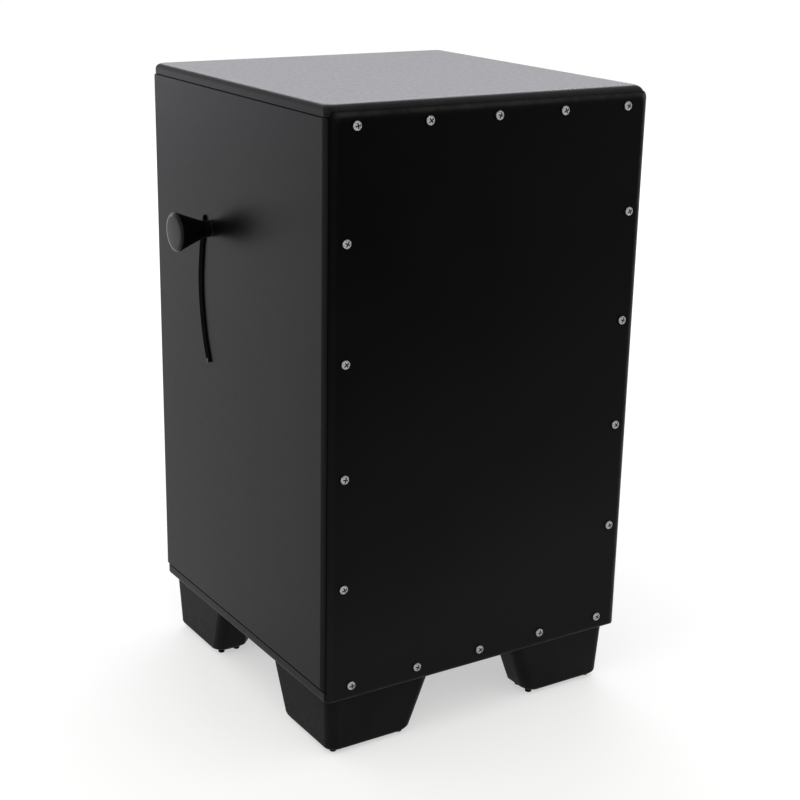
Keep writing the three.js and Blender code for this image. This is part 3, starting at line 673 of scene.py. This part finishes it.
def laceSection():
    # outline across the lace, with one more point on each face where the tip is
    across, through = lace["width"] * mm / 2, lace["thickness"] * mm / 2
    corners = [(-across, -through), (across, -through), (across, through), (-across, through)]
    steps = lace["edgeSteps"]
    rounds = roundedOutline(corners, [through * lace["edgeRound"]] * 4, steps)
    point = lace["tip"]["place"] * across
    first, third = steps + 1, 3 * (steps + 1)  # where the first corner's points and the third's end
    front, behind = Vector((point, -through)), Vector((point, through))
    return rounds[:first] + [front] + rounds[first:third] + [behind] + rounds[third:]


def cutBack(x):
    # how far the slanting cuts of the upper end run down at this place across
    tip, across = lace["tip"], lace["width"] * mm / 2
    point = tip["place"] * across
    if x < point:
        return tip["frontCut"] * mm * (point - x) / (point + across)
    return tip["backCut"] * mm * (x - point) / (across - point)


def buildLace():
    axis = Vector(lace["axis"])
    points = [axis + Vector((0, back * mm, rise * mm)) for back, rise in lace["route"]]
    line = smoothRoute(points, lace["stepsBetween"])
    section = laceSection()
    outward = Vector((-1, 0, 0))
    bm = bmesh.new()
    uvLayer = bm.loops.layers.uv.new("alongLace")
    rings, shifts = [], []
    travelled = [0.0]
    for i, place in enumerate(line):
        ahead = line[min(i + 1, len(line) - 1)] - line[max(i - 1, 0)]
        ahead.normalize()
        side = ahead.cross(outward)  # towards the back of the drum
        if i:
            travelled.append(travelled[-1] + (place - line[i - 1]).length)
        fade = max(0, 1 - i / lace["cutRings"])
        shifts.append([cutBack(flat.x) * fade for flat in section])
        rings.append([
            place + side * flat.x + outward * flat.y + ahead * shift
            for flat, shift in zip(section, shifts[-1])
        ])
    rows, lids = loft(bm, rings)
    count = len(section)
    around = [0.0]
    for i in range(count):
        around.append(around[-1] + (section[(i + 1) % count] - section[i]).length)
    index = {vert: (i, j) for i, row in enumerate(rows) for j, vert in enumerate(row)}
    highlightedEnd = lace["highlightedEnd"]
    firstHighlightedRing = len(line) - 1 - highlightedEnd["rings"]
    highlightFromX = highlightedEnd["fromWidth"] * lace["width"] * mm / 2
    highlightFromY = highlightedEnd["fromFace"] * lace["thickness"] * mm / 2
    # the lower end's back edge and its lid take the painted highlight
    for face in bm.faces:
        columns = [index[loop.vert][1] for loop in face.loops]
        backEdge = all(section[j].x > highlightFromX and section[j].y > highlightFromY for j in columns)
        if face == lids[1] or backEdge and min(index[vert][0] for vert in face.verts) >= firstHighlightedRing:
            face.material_index = 1
        wraps = max(columns) - min(columns) > count / 2
        for loop in face.loops:
            i, j = index[loop.vert]
            along = travelled[i] + shifts[i][j]
            if wraps and j == 0:
                j = count
            loop[uvLayer].uv = (around[j] / mm, along / mm)
    mesh = newMesh("laceOnKnob", bm, finishes=(laceFibre(), laceFibre(endHighlight=True)), smooth=50)
    piece = placePiece("laceOnKnob", mesh, ["lace"], "snare", weighted=False)
    print("lace:", round(travelled[-1], 4), "m along its middle")


buildLace()


# Boards: top, bottom, sides, playing face and back

satinPaint = boardPaint()
faceLacquer = tapaPaint()
lappedLacquer = mottledFinish("lappedEdgeLacquer")
woodX, woodZ = rawWood("x"), rawWood("z")

boards = {
    # corners: radii from left and bottom round to left and top, seen from outside
    # edges: how far the rounding runs in over the face and down the side, and what stands before it
    # back: how far the inner edges are broken
    # wear: how much more or less than usual each side's edge is rubbed; on the face these set its painted
    # edge highlights, strongest on the right and top
    "top_board": {
        "side": "top", "corners": (7, 4, 5, 5), "inside": woodX, "back": 0.3,
        "edges": {"bottom": (12, 18.9, 4.3), "right": (5, 5, 0), "top": (5, 5, 0), "left": (5, 5, 0)},
    },
    "bottom_board": {
        "side": "bottom", "corners": (1.5, 1.5, 5, 5), "inside": woodX, "back": 0.3,
        "edges": {side: (2.5, 2.5, 0) for side in ("bottom", "right", "top", "left")},
    },
    "left_side_panel": {
        "side": "left", "corners": (1.5, 1.5, 1.5, 1.5), "inside": woodZ, "back": 0.3,
        "edges": {
            "bottom": (1.3, 1.3, 0), "right": (12, 3.0, 4.3), "top": (1.3, 1.3, 0), "left": (1.3, 1.3, 0),
        },
    },
    "right_side_panel": {
        "side": "right", "corners": (1.5, 1.5, 1.5, 1.5), "inside": woodZ, "back": 0.3,
        "edges": {
            "bottom": (1.3, 1.3, 0), "right": (1.3, 1.3, 0), "top": (1.3, 1.3, 0), "left": (12, 3.0, 4.3),
        },
    },
    "tapa": {
        "side": "front", "corners": (2, 2, 4, 4), "inside": woodZ, "back": 0.35,
        "edges": {"bottom": (3.5, 3.5, 0), "right": (4.6, 3.5, 0), "top": (10.2, 16, 4), "left": (8, 8, 0)},
        # painted highlight lines along the face's right and top edges, and a little rub
        "sideRubAndHighlight": {"left": 0.04, "bottom": 0.8, "right": 4.0, "top": 0.36},
    },
}
boardMaking = {
    "cornerSteps": 8,
    "edgeRounds": 10,  # steps in a rounded edge
    "leastFlat": 0.2,  # of the board's edge, under the rounding
    "paintedMargin": 11.5,  # the paint runs over the edges and this far in on the inside
    "rubAndHighlightMargin": 1.2,  # the rub and painted edge highlight fade out this far in on the outer face
    "faceRubAndHighlight": 0.1,  # rub and painted highlight where the rounding meets the face
    "leastCorner": 0.1,
    "lappedBand": 8.3,  # width of the face's lacquer on the sides
    "lappedDepth": 3.5,  # how far down their edges it reaches
}
bushHole = {"centre": (0.0472, 0.4112), "radius": 5.8, "reach": 20, "sides": 64}


def edgeInset(edge, depth):
    # how far the edge has drawn in at this depth below the outer face, millimetres
    run, drop, before = edge
    if depth >= drop:
        return 0.0
    return max(0.0, run * (1 - math.sqrt(1 - (1 - depth / drop) ** 2)) - before)


def drillForBush(mesh, low, high):
    y, z = bushHole["centre"]
    radius, reach = bushHole["radius"], bushHole["reach"]
    tool = bmesh.new()
    turned(tool, [(radius, -reach), (radius, reach)], bushHole["sides"])
    drill = newMesh("bushDrill", tool, towards("left", ((low.x + high.x) / 2, y, z)))
    return cutAway(mesh, drill, smooth=60)


def buildBoard(node):
    look = boards[node]
    low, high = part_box(node)
    across, up, out = (Vector(v) for v in facings[look["side"]])
    size = high - low
    width, height, thickness = (abs(size.dot(v)) / mm for v in (across, up, out))
    sides = ("left", "bottom", "right", "top")
    steps, rounds = boardMaking["cornerSteps"], boardMaking["edgeRounds"]
    bm = bmesh.new()
    rings, rubAndHighlight = [], []

    def addRing(depth, more, ringRubAndHighlight):
        left, bottom, right, top = (edgeInset(look["edges"][side], depth) + more for side in sides)
        x, y = width / 2, height / 2
        corners = [
            (left - x, bottom - y), (x - right, bottom - y),
            (x - right, y - top), (left - x, y - top),
        ]
        radii = [max(radius - more, boardMaking["leastCorner"]) for radius in look["corners"]]
        ring = roundedOutline(corners, radii, steps)
        rings.append([Vector((p.x, p.y, thickness - depth)) * mm for p in ring])
        rubAndHighlight.append(ringRubAndHighlight)

    back = look["back"]
    deepest = max(edge[1] for edge in look["edges"].values())
    drop = min(deepest, thickness - back - boardMaking["leastFlat"])
    addRing(thickness, boardMaking["paintedMargin"], 0)
    addRing(thickness, back, 0)
    addRing(thickness - back, 0, 0)
    for step in range(rounds + 1):
        angle = math.pi / 2 * step / rounds
        # edge rub and painted edge highlight, strongest halfway round the rounding
        worn = max(math.sin(2 * angle) ** 2, boardMaking["faceRubAndHighlight"] * step / rounds)
        addRing(drop * (1 - math.sin(angle)), 0, worn)
    addRing(0, boardMaking["rubAndHighlightMargin"], 0)
    rows, lids = loft(bm, rings, rubAndHighlight=rubAndHighlight)
    lids[0].material_index = 1
    sideRubAndHighlight = look.get("sideRubAndHighlight", {})
    rubAndHighlightLayer = bm.verts.layers.float["edgeRubAndHighlight"]
    for row in rows:
        for j, vert in enumerate(row):  # each corner's points lead from one side to the next
            corner, place = divmod(j, steps + 1)
            share = place / steps
            here, following = (sideRubAndHighlight.get(sides[(corner + k) % 4], 1.0) for k in (0, 1))
            vert[rubAndHighlightLayer] *= here * (1 - share) + following * share
    if look["side"] in ("left", "right"):
        sign = 1 if look["side"] == "left" else -1
        for face in bm.faces:
            if face in lids:
                continue
            centre = face.calc_center_median() / mm
            nearFront = width / 2 - sign * centre.x < boardMaking["lappedBand"]
            if nearFront and thickness - centre.z < boardMaking["lappedDepth"]:
                face.material_index = 2
    finishes = (faceLacquer if node == "tapa" else satinPaint, look["inside"], lappedLacquer)
    middle = (low + high) / 2 - out * thickness * mm / 2
    mesh = newMesh(node + "_dressed", bm, towards(look["side"], middle), finishes, smooth=60)
    if node == "left_side_panel":
        mesh = drillForBush(mesh, low, high)
    placePiece(node + "_dressed", mesh, [node])


for node in boards:
    buildBoard(node)

backPanel = {
    "holeRadius": 60,
    "holeRise": 0.296,  # hole's middle above the floor
    "ease": 1.5,
    "easeSteps": 5,
    "sides": 96,
    "borderBreak": 0.4,
    # rub and painted edge highlight on the border and on the hole's rim
    "borderRubAndHighlight": (0, 0.3, 0.5),
}


def buildBackPanel():
    low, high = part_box("back_panel")
    centre = Vector(((low.x + high.x) / 2, low.y, backPanel["holeRise"]))
    halfWidth = (high.x - low.x) / 2
    top, bottom = high.z - centre.z, low.z - centre.z
    thickness = high.y - low.y
    angles = [2 * math.pi * i / backPanel["sides"] for i in range(backPanel["sides"])]
    angles += [math.atan2(z, x) % (2 * math.pi) for x in (halfWidth, -halfWidth) for z in (top, bottom)]
    angles.sort()

    def circle(radius, y):
        return [Vector((radius * math.cos(a), y, radius * math.sin(a))) for a in angles]

    def border(inset, y):
        ring = []
        for a in angles:
            c, s = math.cos(a), math.sin(a)
            sideReach = (halfWidth - inset) / max(abs(c), tiny)
            endReach = ((top if s > 0 else -bottom) - inset) / max(abs(s), tiny)
            reach = min(sideReach, endReach)
            ring.append(Vector((c * reach, y, s * reach)))
        return ring

    radius, ease, edge = (backPanel[key] * mm for key in ("holeRadius", "ease", "borderBreak"))
    rings = [border(0, 0), border(0, thickness - edge), border(edge, thickness)]
    rubAndHighlight = list(backPanel["borderRubAndHighlight"])
    steps = backPanel["easeSteps"]
    quarter = [math.radians(90 * step / steps) for step in range(steps + 1)]
    for angle in reversed(quarter):
        wider, inward = ease * (1 - math.cos(angle)), ease * (1 - math.sin(angle))
        rings.append(circle(radius + wider, thickness - inward))
    for angle in quarter:
        wider, inward = ease * (1 - math.cos(angle)), ease * (1 - math.sin(angle))
        rings.append(circle(radius + wider, inward))
    rubAndHighlight += [math.sin(2 * angle) for angle in quarter[::-1] + quarter]
    bm = bmesh.new()
    rows = loft(bm, rings, closed=True, rubAndHighlight=rubAndHighlight)[0]
    inner = set(rows[0]) | set(rows[-1])
    for face in bm.faces:
        if all(vert in inner for vert in face.verts):
            face.material_index = 1
    mesh = newMesh("back_panel_dressed", bm, Matrix.Translation(centre), (satinPaint, woodZ), smooth=60)
    placePiece("back_panel_dressed", mesh, ["back_panel"])


buildBackPanel()
print("boards done")


# Feet: moulded corner blocks with a screw bore and round glides

foot = {
    "height": 53.7,
    "topInset": 5.0, "bottomInset": 7.5,
    "topReach": 107.0, "bottomReach": 88.5,
    "topEndWidth": 31.0, "bottomEndWidth": 28.0,
    "chamfer": 4.0, "softEdge": 3.9, "softSteps": 6, "chamferShare": 0.98,
    "plainLevels": (0.3, 0.985),  # outlines with nothing taken off, as shares of the height
    "topBreak": 0.4, "topRub": 0.4,
    "cornerRadius": 9.0, "endRadius": 10.0, "innerRadius": 4.0, "cornerSteps": 10,
    "screwPlace": 44.94, "boreRadius": 7.0, "boreTop": 45.7, "boreEase": 0.8, "boreRub": 0.6,
}
glide = {
    "height": 3.0, "radius": 3.0, "flat": 0.2, "ease": 0.7, "easeSteps": 4, "sunkIn": 0.6, "sides": 20,
    "inset": 8.5, "endInset": 4.0,
}
footTurns = {  # the turn in degrees, and the corner's side in X and Y
    "front_left": (0, -1, -1), "front_right": (90, 1, -1),
    "rear_right": (180, 1, 1), "rear_left": (-90, -1, 1),
}


def footOutline(share, inset, shorten):
    def between(name):
        low, high = foot["bottom" + name], foot["top" + name]
        return low + (high - low) * share

    side = between("Inset") + inset
    reach = between("Reach") - shorten
    end = between("EndWidth") - 2 * inset
    corners = [(side, side), (reach, side), (reach, side + end), (side + end, reach), (side, reach)]
    radii = [foot[key] for key in ("cornerRadius", "endRadius", "innerRadius", "innerRadius", "endRadius")]
    return roundedOutline(corners, radii, foot["cornerSteps"])


def addGlides(bm):
    near = foot["bottomInset"] + glide["inset"]
    far = foot["bottomReach"] - foot["chamfer"] - glide["endInset"]
    inner = foot["bottomInset"] + foot["bottomEndWidth"] - glide["endInset"]
    radius, ease = glide["radius"], glide["ease"]
    profile = [(glide["flat"], 0)] + arc((radius - ease, ease), ease, -90, 0, glide["easeSteps"])
    profile.append((radius, glide["height"] + glide["sunkIn"]))
    for x, y in ((near, near), (far, near), (far, inner), (inner, far), (near, far)):
        one = bmesh.new()
        turned(one, profile, glide["sides"])
        bmesh.ops.translate(one, verts=one.verts, vec=Vector((x, y, 0)) * mm)
        loose = bpy.data.meshes.new("glide")
        one.to_mesh(loose)
        one.free()
        bm.from_mesh(loose)
        bpy.data.meshes.remove(loose)


def footMesh(finish):
    rise = foot["height"] - glide["height"]
    rings, rubAndHighlight = [], []

    def addLevel(share, inset, shorten, ringRubAndHighlight):
        z = glide["height"] + share * rise
        rings.append([Vector((p.x, p.y, z)) * mm for p in footOutline(share, inset, shorten)])
        rubAndHighlight.append(ringRubAndHighlight)

    soft, slope = foot["softEdge"], foot["chamfer"]
    for step in range(foot["softSteps"] + 1):
        angle = math.pi / 2 * step / foot["softSteps"]
        up = soft * (1 - math.cos(angle))
        inset = soft * (1 - math.sin(angle))
        addLevel(up / rise, inset, slope * (1 - up / slope * foot["chamferShare"]), math.sin(2 * angle))
    for share in foot["plainLevels"]:
        addLevel(share, 0, 0, 0)
    addLevel(1, foot["topBreak"], foot["topBreak"], foot["topRub"])
    # the bore comes up from the middle of the underside
    centre = Vector((foot["screwPlace"], foot["screwPlace"], 0)) * mm
    spokes = [(p - centre).to_2d().normalized() for p in rings[0]]

    def boreRing(radius, z):
        out = radius * mm
        return [Vector((centre.x + s.x * out, centre.y + s.y * out, z * mm)) for s in spokes]

    bore, ease, low = foot["boreRadius"], foot["boreEase"], glide["height"]
    boreRings = [boreRing(bore, foot["boreTop"]), boreRing(bore, low + ease), boreRing(bore + ease, low)]
    bm = bmesh.new()
    loft(bm, boreRings + rings, rubAndHighlight=[0, 0, foot["boreRub"]] + rubAndHighlight)
    addGlides(bm)
    return newMesh("footBlock", bm, finishes=(finish,), smooth=42)


def buildFeet():
    shape = footMesh(mottledFinish("mouldedBlackPlastic"))
    for side, (turn, signX, signY) in footTurns.items():
        low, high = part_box("foot_" + side)
        inset = foot["topInset"] * mm
        corner = Vector((
            low.x - inset if signX < 0 else high.x + inset,
            low.y - inset if signY < 0 else high.y + inset,
            0,
        ))
        matrix = Matrix.Translation(corner) @ Matrix.Rotation(math.radians(turn), 4, "Z")
        placePiece("foot_block_" + side, shape, ["foot_" + side], matrix=matrix)


buildFeet()
print("feet done")


# Pan-head screws with a cross recess

screwSizes = {
    "tapa": {"head": 3.8, "rise": 2.4, "shank": 1.75, "length": 14, "point": 3},
    "foot": {"head": 5.0, "rise": 3.0, "shank": 2.5, "length": 15, "point": 3},
    "bearing": {"head": 3.6, "rise": 2.2, "shank": 1.75, "length": 24, "point": 3},
    "hub": {"head": 3.6, "rise": 2.2, "shank": 1.75, "length": 9, "point": 2},
    "tab": {"head": 3.6, "rise": 2.2, "shank": 1.75, "length": 10, "point": 2},
}
screwForm = {
    "tip": 0.15, "underBreak": 0.25,
    "rimShare": 0.4, "crownSteps": 8, "crownPower": 0.55, "crownMiddle": 0.2,
    "sides": 40, "smooth": 42,
}
recess = {  # reach and slot are shares of the head's radius, depth and over of its height
    "reach": 0.64, "slot": 0.14, "depth": 0.78, "taper": 0.6, "flare": 1.08, "over": 1.1,
}
screwTurns = {  # degrees, as the driver left them
    "tapa": (12, 38, 71, 24, 55, 5, 63, 30, 82, 47, 18, 76, 34, 60, 9, 42, 67, 27),
    "foot": (20, 53, 86, 119),
    "bearing": (31, 62),
    "hub": (15, 55),
    "tab": (52, 77),
}


def crossOutline(reach, half, z):
    corners = [
        (reach, -half), (reach, half), (half, half), (half, reach), (-half, reach), (-half, half),
        (-reach, half), (-reach, -half), (-half, -half), (-half, -reach), (half, -reach), (half, -half),
    ]
    return [Vector((x, y, z)) for x, y in corners]


def driverBit(head, rise, finishes):
    reach, half = head * recess["reach"] * mm, head * recess["slot"] * mm
    floor, taper, flare = rise * (1 - recess["depth"]) * mm, recess["taper"], recess["flare"]
    tool = bmesh.new()
    loft(tool, [
        crossOutline(reach * taper, half * taper, floor),
        crossOutline(reach * flare, half * flare, rise * recess["over"] * mm),
    ])
    # the recess faces take the second finish, the painted recess shade
    for face in tool.faces:
        face.material_index = 1
    return newMesh("driverBit", tool, finishes=finishes)


def screwMesh(name, finishes):
    size = screwSizes[name]
    head, rise, shank, length = (size[key] for key in ("head", "rise", "shank", "length"))
    form = screwForm
    profile = [(form["tip"], -length), (shank, size["point"] - length), (shank, 0)]
    profile += [(head - form["underBreak"], 0), (head, form["underBreak"]), (head, rise * form["rimShare"])]
    # crown: a shoulder that rolls into a low dome
    steps, rim = form["crownSteps"], form["rimShare"]
    for step in range(1, steps + 1):
        angle = math.pi / 2 * step / steps
        radius = head * math.cos(angle) ** form["crownPower"] if step < steps else form["crownMiddle"]
        profile.append((radius, rise * (rim + (1 - rim) * math.sin(angle))))
    bm = bmesh.new()
    turned(bm, profile, form["sides"])
    mesh = newMesh(name + "Screw", bm, finishes=finishes, smooth=form["smooth"])
    return cutAway(mesh, driverBit(head, rise, finishes), form["smooth"])


def placeScrew(name, mesh, node, facing, turn, body="box"):
    low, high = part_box(node)
    middle = (low + high) / 2
    out = Vector(facings[facing][2])
    tip = middle + out * abs((high - low).dot(out)) / 2  # top of the head
    rise = max(v.co.z for v in mesh.vertices)
    matrix = towards(facing, tip - out * rise, math.radians(turn))
    placePiece(name, mesh, [node], body, matrix)


def buildScrews():
    zinc, shade = mottledFinish("zincPlate"), mottledFinish("paintedRecessShade")
    shapes = {name: screwMesh(name, (zinc, shade)) for name in screwSizes}
    for i, turn in enumerate(screwTurns["tapa"], 1):
        placeScrew(f"face_screw_{i:02d}", shapes["tapa"], f"tapa_screw_{i:02d}", "front", turn)
    for side, turn in zip(footTurns, screwTurns["foot"]):
        placeScrew("foot_fixing_" + side, shapes["foot"], "foot_screw_" + side, "bottom", turn)
    for i, turn in enumerate(screwTurns["bearing"], 1):
        placeScrew(f"bearing_fixing_{i}", shapes["bearing"], f"bearing_screw_{i}", "left", turn)
    for i, side in enumerate(("left", "right")):
        for kind in ("hub", "tab"):
            name, node = f"{side}_{kind}_fixing", f"{side}_{kind}_screw"
            placeScrew(name, shapes[kind], node, "back", screwTurns[kind][i], "snare")
    return zinc


zinc = buildScrews()
print("screws done")


# Knob, turned from one piece with its spindle, and the bush in the panel

knob = {
    "panel": (-0.13275, 0.0472, 0.4112),
    "reach": 34.5,
    "rimRadius": 16.5,
    "rimWidth": 1.6,
    "rimEase": 0.35,
    "faceRadius": 11.9,
    "faceCrown": 0.22,
    "faceSteps": 8,
    "faceMiddle": 0.3,
    "shoulderDrop": 1.7,
    "shoulderLip": 0.15,
    "shoulderSteps": 9,
    "baseRadius": 7.38,
    "baseWidth": 0.7,
    "baseEase": {"radius": 0.15, "turn": 72, "steps": 4},
    "baseToNeck": 0.15,
    "neckRadius": 7.2,
    "neckStart": 7.0,
    "neckEnd": 1.6,
    "flareRadius": 11.4,
    "flareDrop": 15.1,
    "flareSteps": 16,
    "flareShort": 0.12,
    "spindleRadius": 3.0,
    "spindleBreak": 0.3,
    "spindleMiddle": 0.2,
    "sides": 96,
}


def knobNeck(inner):
    # spindle's end, spindle, and the collar that stands on the lace
    spindle, cut = knob["spindleRadius"], knob["spindleBreak"]
    base, under = knob["baseRadius"], knob["neckEnd"]
    over = under + knob["baseWidth"]
    profile = [(knob["spindleMiddle"], inner), (spindle - cut, inner), (spindle, inner + cut)]
    profile += [(spindle, under), (base, under)]
    ease = knob["baseEase"]["radius"]
    profile += arc((base - ease, over - ease), ease, 0, knob["baseEase"]["turn"], knob["baseEase"]["steps"])
    return profile + [(knob["neckRadius"], over + knob["baseToNeck"])]


def knobFlare(rimBack):
    # the cone's hollow side, on one smooth curve from the neck to the rim
    start = Vector((knob["neckRadius"], knob["neckStart"]))
    pull = Vector((knob["flareRadius"], knob["reach"] - knob["flareDrop"]))
    end = Vector((knob["rimRadius"] - knob["flareShort"], rimBack))
    points = []
    for i in range(knob["flareSteps"] + 1):
        t = i / knob["flareSteps"]
        points.append(tuple(start * (1 - t) ** 2 + pull * 2 * t * (1 - t) + end * t ** 2))
    return points


def knobFace(rimFront):
    # the shoulder rolls from the rim to the face's edge in a quarter of an oval
    rim, face, lip = knob["rimRadius"], knob["faceRadius"], knob["shoulderLip"]
    points = []
    for i in range(1, knob["shoulderSteps"] + 1):
        angle = math.pi / 2 * i / knob["shoulderSteps"]
        rise = (knob["shoulderDrop"] + lip) * math.sin(angle)
        points.append((face + (rim - face) * math.cos(angle), rimFront - lip + rise))
    for i in range(1, knob["faceSteps"]):
        radius = face * (1 - i / knob["faceSteps"])
        fall = knob["faceCrown"] * (radius / face) ** 2
        points.append((max(radius, knob["faceMiddle"]), knob["reach"] - fall))
    return points


def buildKnob():
    panel = Vector(knob["panel"])
    inner = (panel.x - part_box("knob")[1].x) / mm  # spindle's end, inside
    rimFront = knob["reach"] - knob["faceCrown"] - knob["shoulderDrop"]
    rimBack = rimFront - knob["rimWidth"]
    radius = knob["rimRadius"]
    rim = [(radius, rimBack + knob["rimEase"]), (radius, rimFront - knob["shoulderLip"])]
    profile = knobNeck(inner) + knobFlare(rimBack) + rim + knobFace(rimFront)
    bm = bmesh.new()
    turned(bm, profile, knob["sides"])
    lacquer = mottledFinish("glossBlackLacquer")
    mesh = newMesh("knobTurned", bm, towards("left", panel), (lacquer,), smooth=40)
    placePiece("knobTurned", mesh, ["knob"], "snare")


bush = {"bore": 3.3, "sleeve": 5.5, "flange": 11.0, "depth": 9.3, "ease": 0.4, "sides": 64}


def buildBush():
    low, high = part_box("spindle_bush")
    bore, sleeve, flange, depth, ease = (bush[key] for key in ("bore", "sleeve", "flange", "depth", "ease"))
    length = (high.x - low.x) / mm
    profile = [
        (bore + ease, 0), (sleeve - ease, 0), (sleeve, ease), (sleeve, depth),
        (flange - ease, depth), (flange, depth + ease), (flange, length - ease), (flange - ease, length),
        (bore + ease, length), (bore, length - ease), (bore, ease),
    ]
    bm = bmesh.new()
    turned(bm, profile, bush["sides"], closed=True)
    middle = (low + high) / 2
    matrix = towards("right", (low.x, middle.y, middle.z))
    mesh = newMesh("bushTurned", bm, matrix, (mottledFinish("blackNylon"),), smooth=40)
    placePiece("bushTurned", mesh, ["spindle_bush"])


buildKnob()
buildBush()
print("knob done")


# The rest keeps the shapes of the frame and gets its finishes

keptShapes = [
    (zinc, ["left_plate_screw", "right_plate_screw"]),
    (mottledFinish("blackenedSteel"), ["left_arm", "right_arm", "spindle_grub_screw"]),
    (snareWire(), ["snare_strands"]),
    (woodX, ["front_top_batten", "front_bottom_batten", "rear_top_batten", "rear_bottom_batten"]),
    (woodX, ["snare_bar", "snare_rod"]),
    (woodZ, ["front_left_batten", "front_right_batten", "rear_left_batten", "rear_right_batten"]),
    (rawWood("y"), ["bearing_block"]),
]
for finish, names in keptShapes:
    for name in names:
        nodes[name].data.materials.clear()
        nodes[name].data.materials.append(finish)
print("inside done")

bpy.context.view_layer.update()
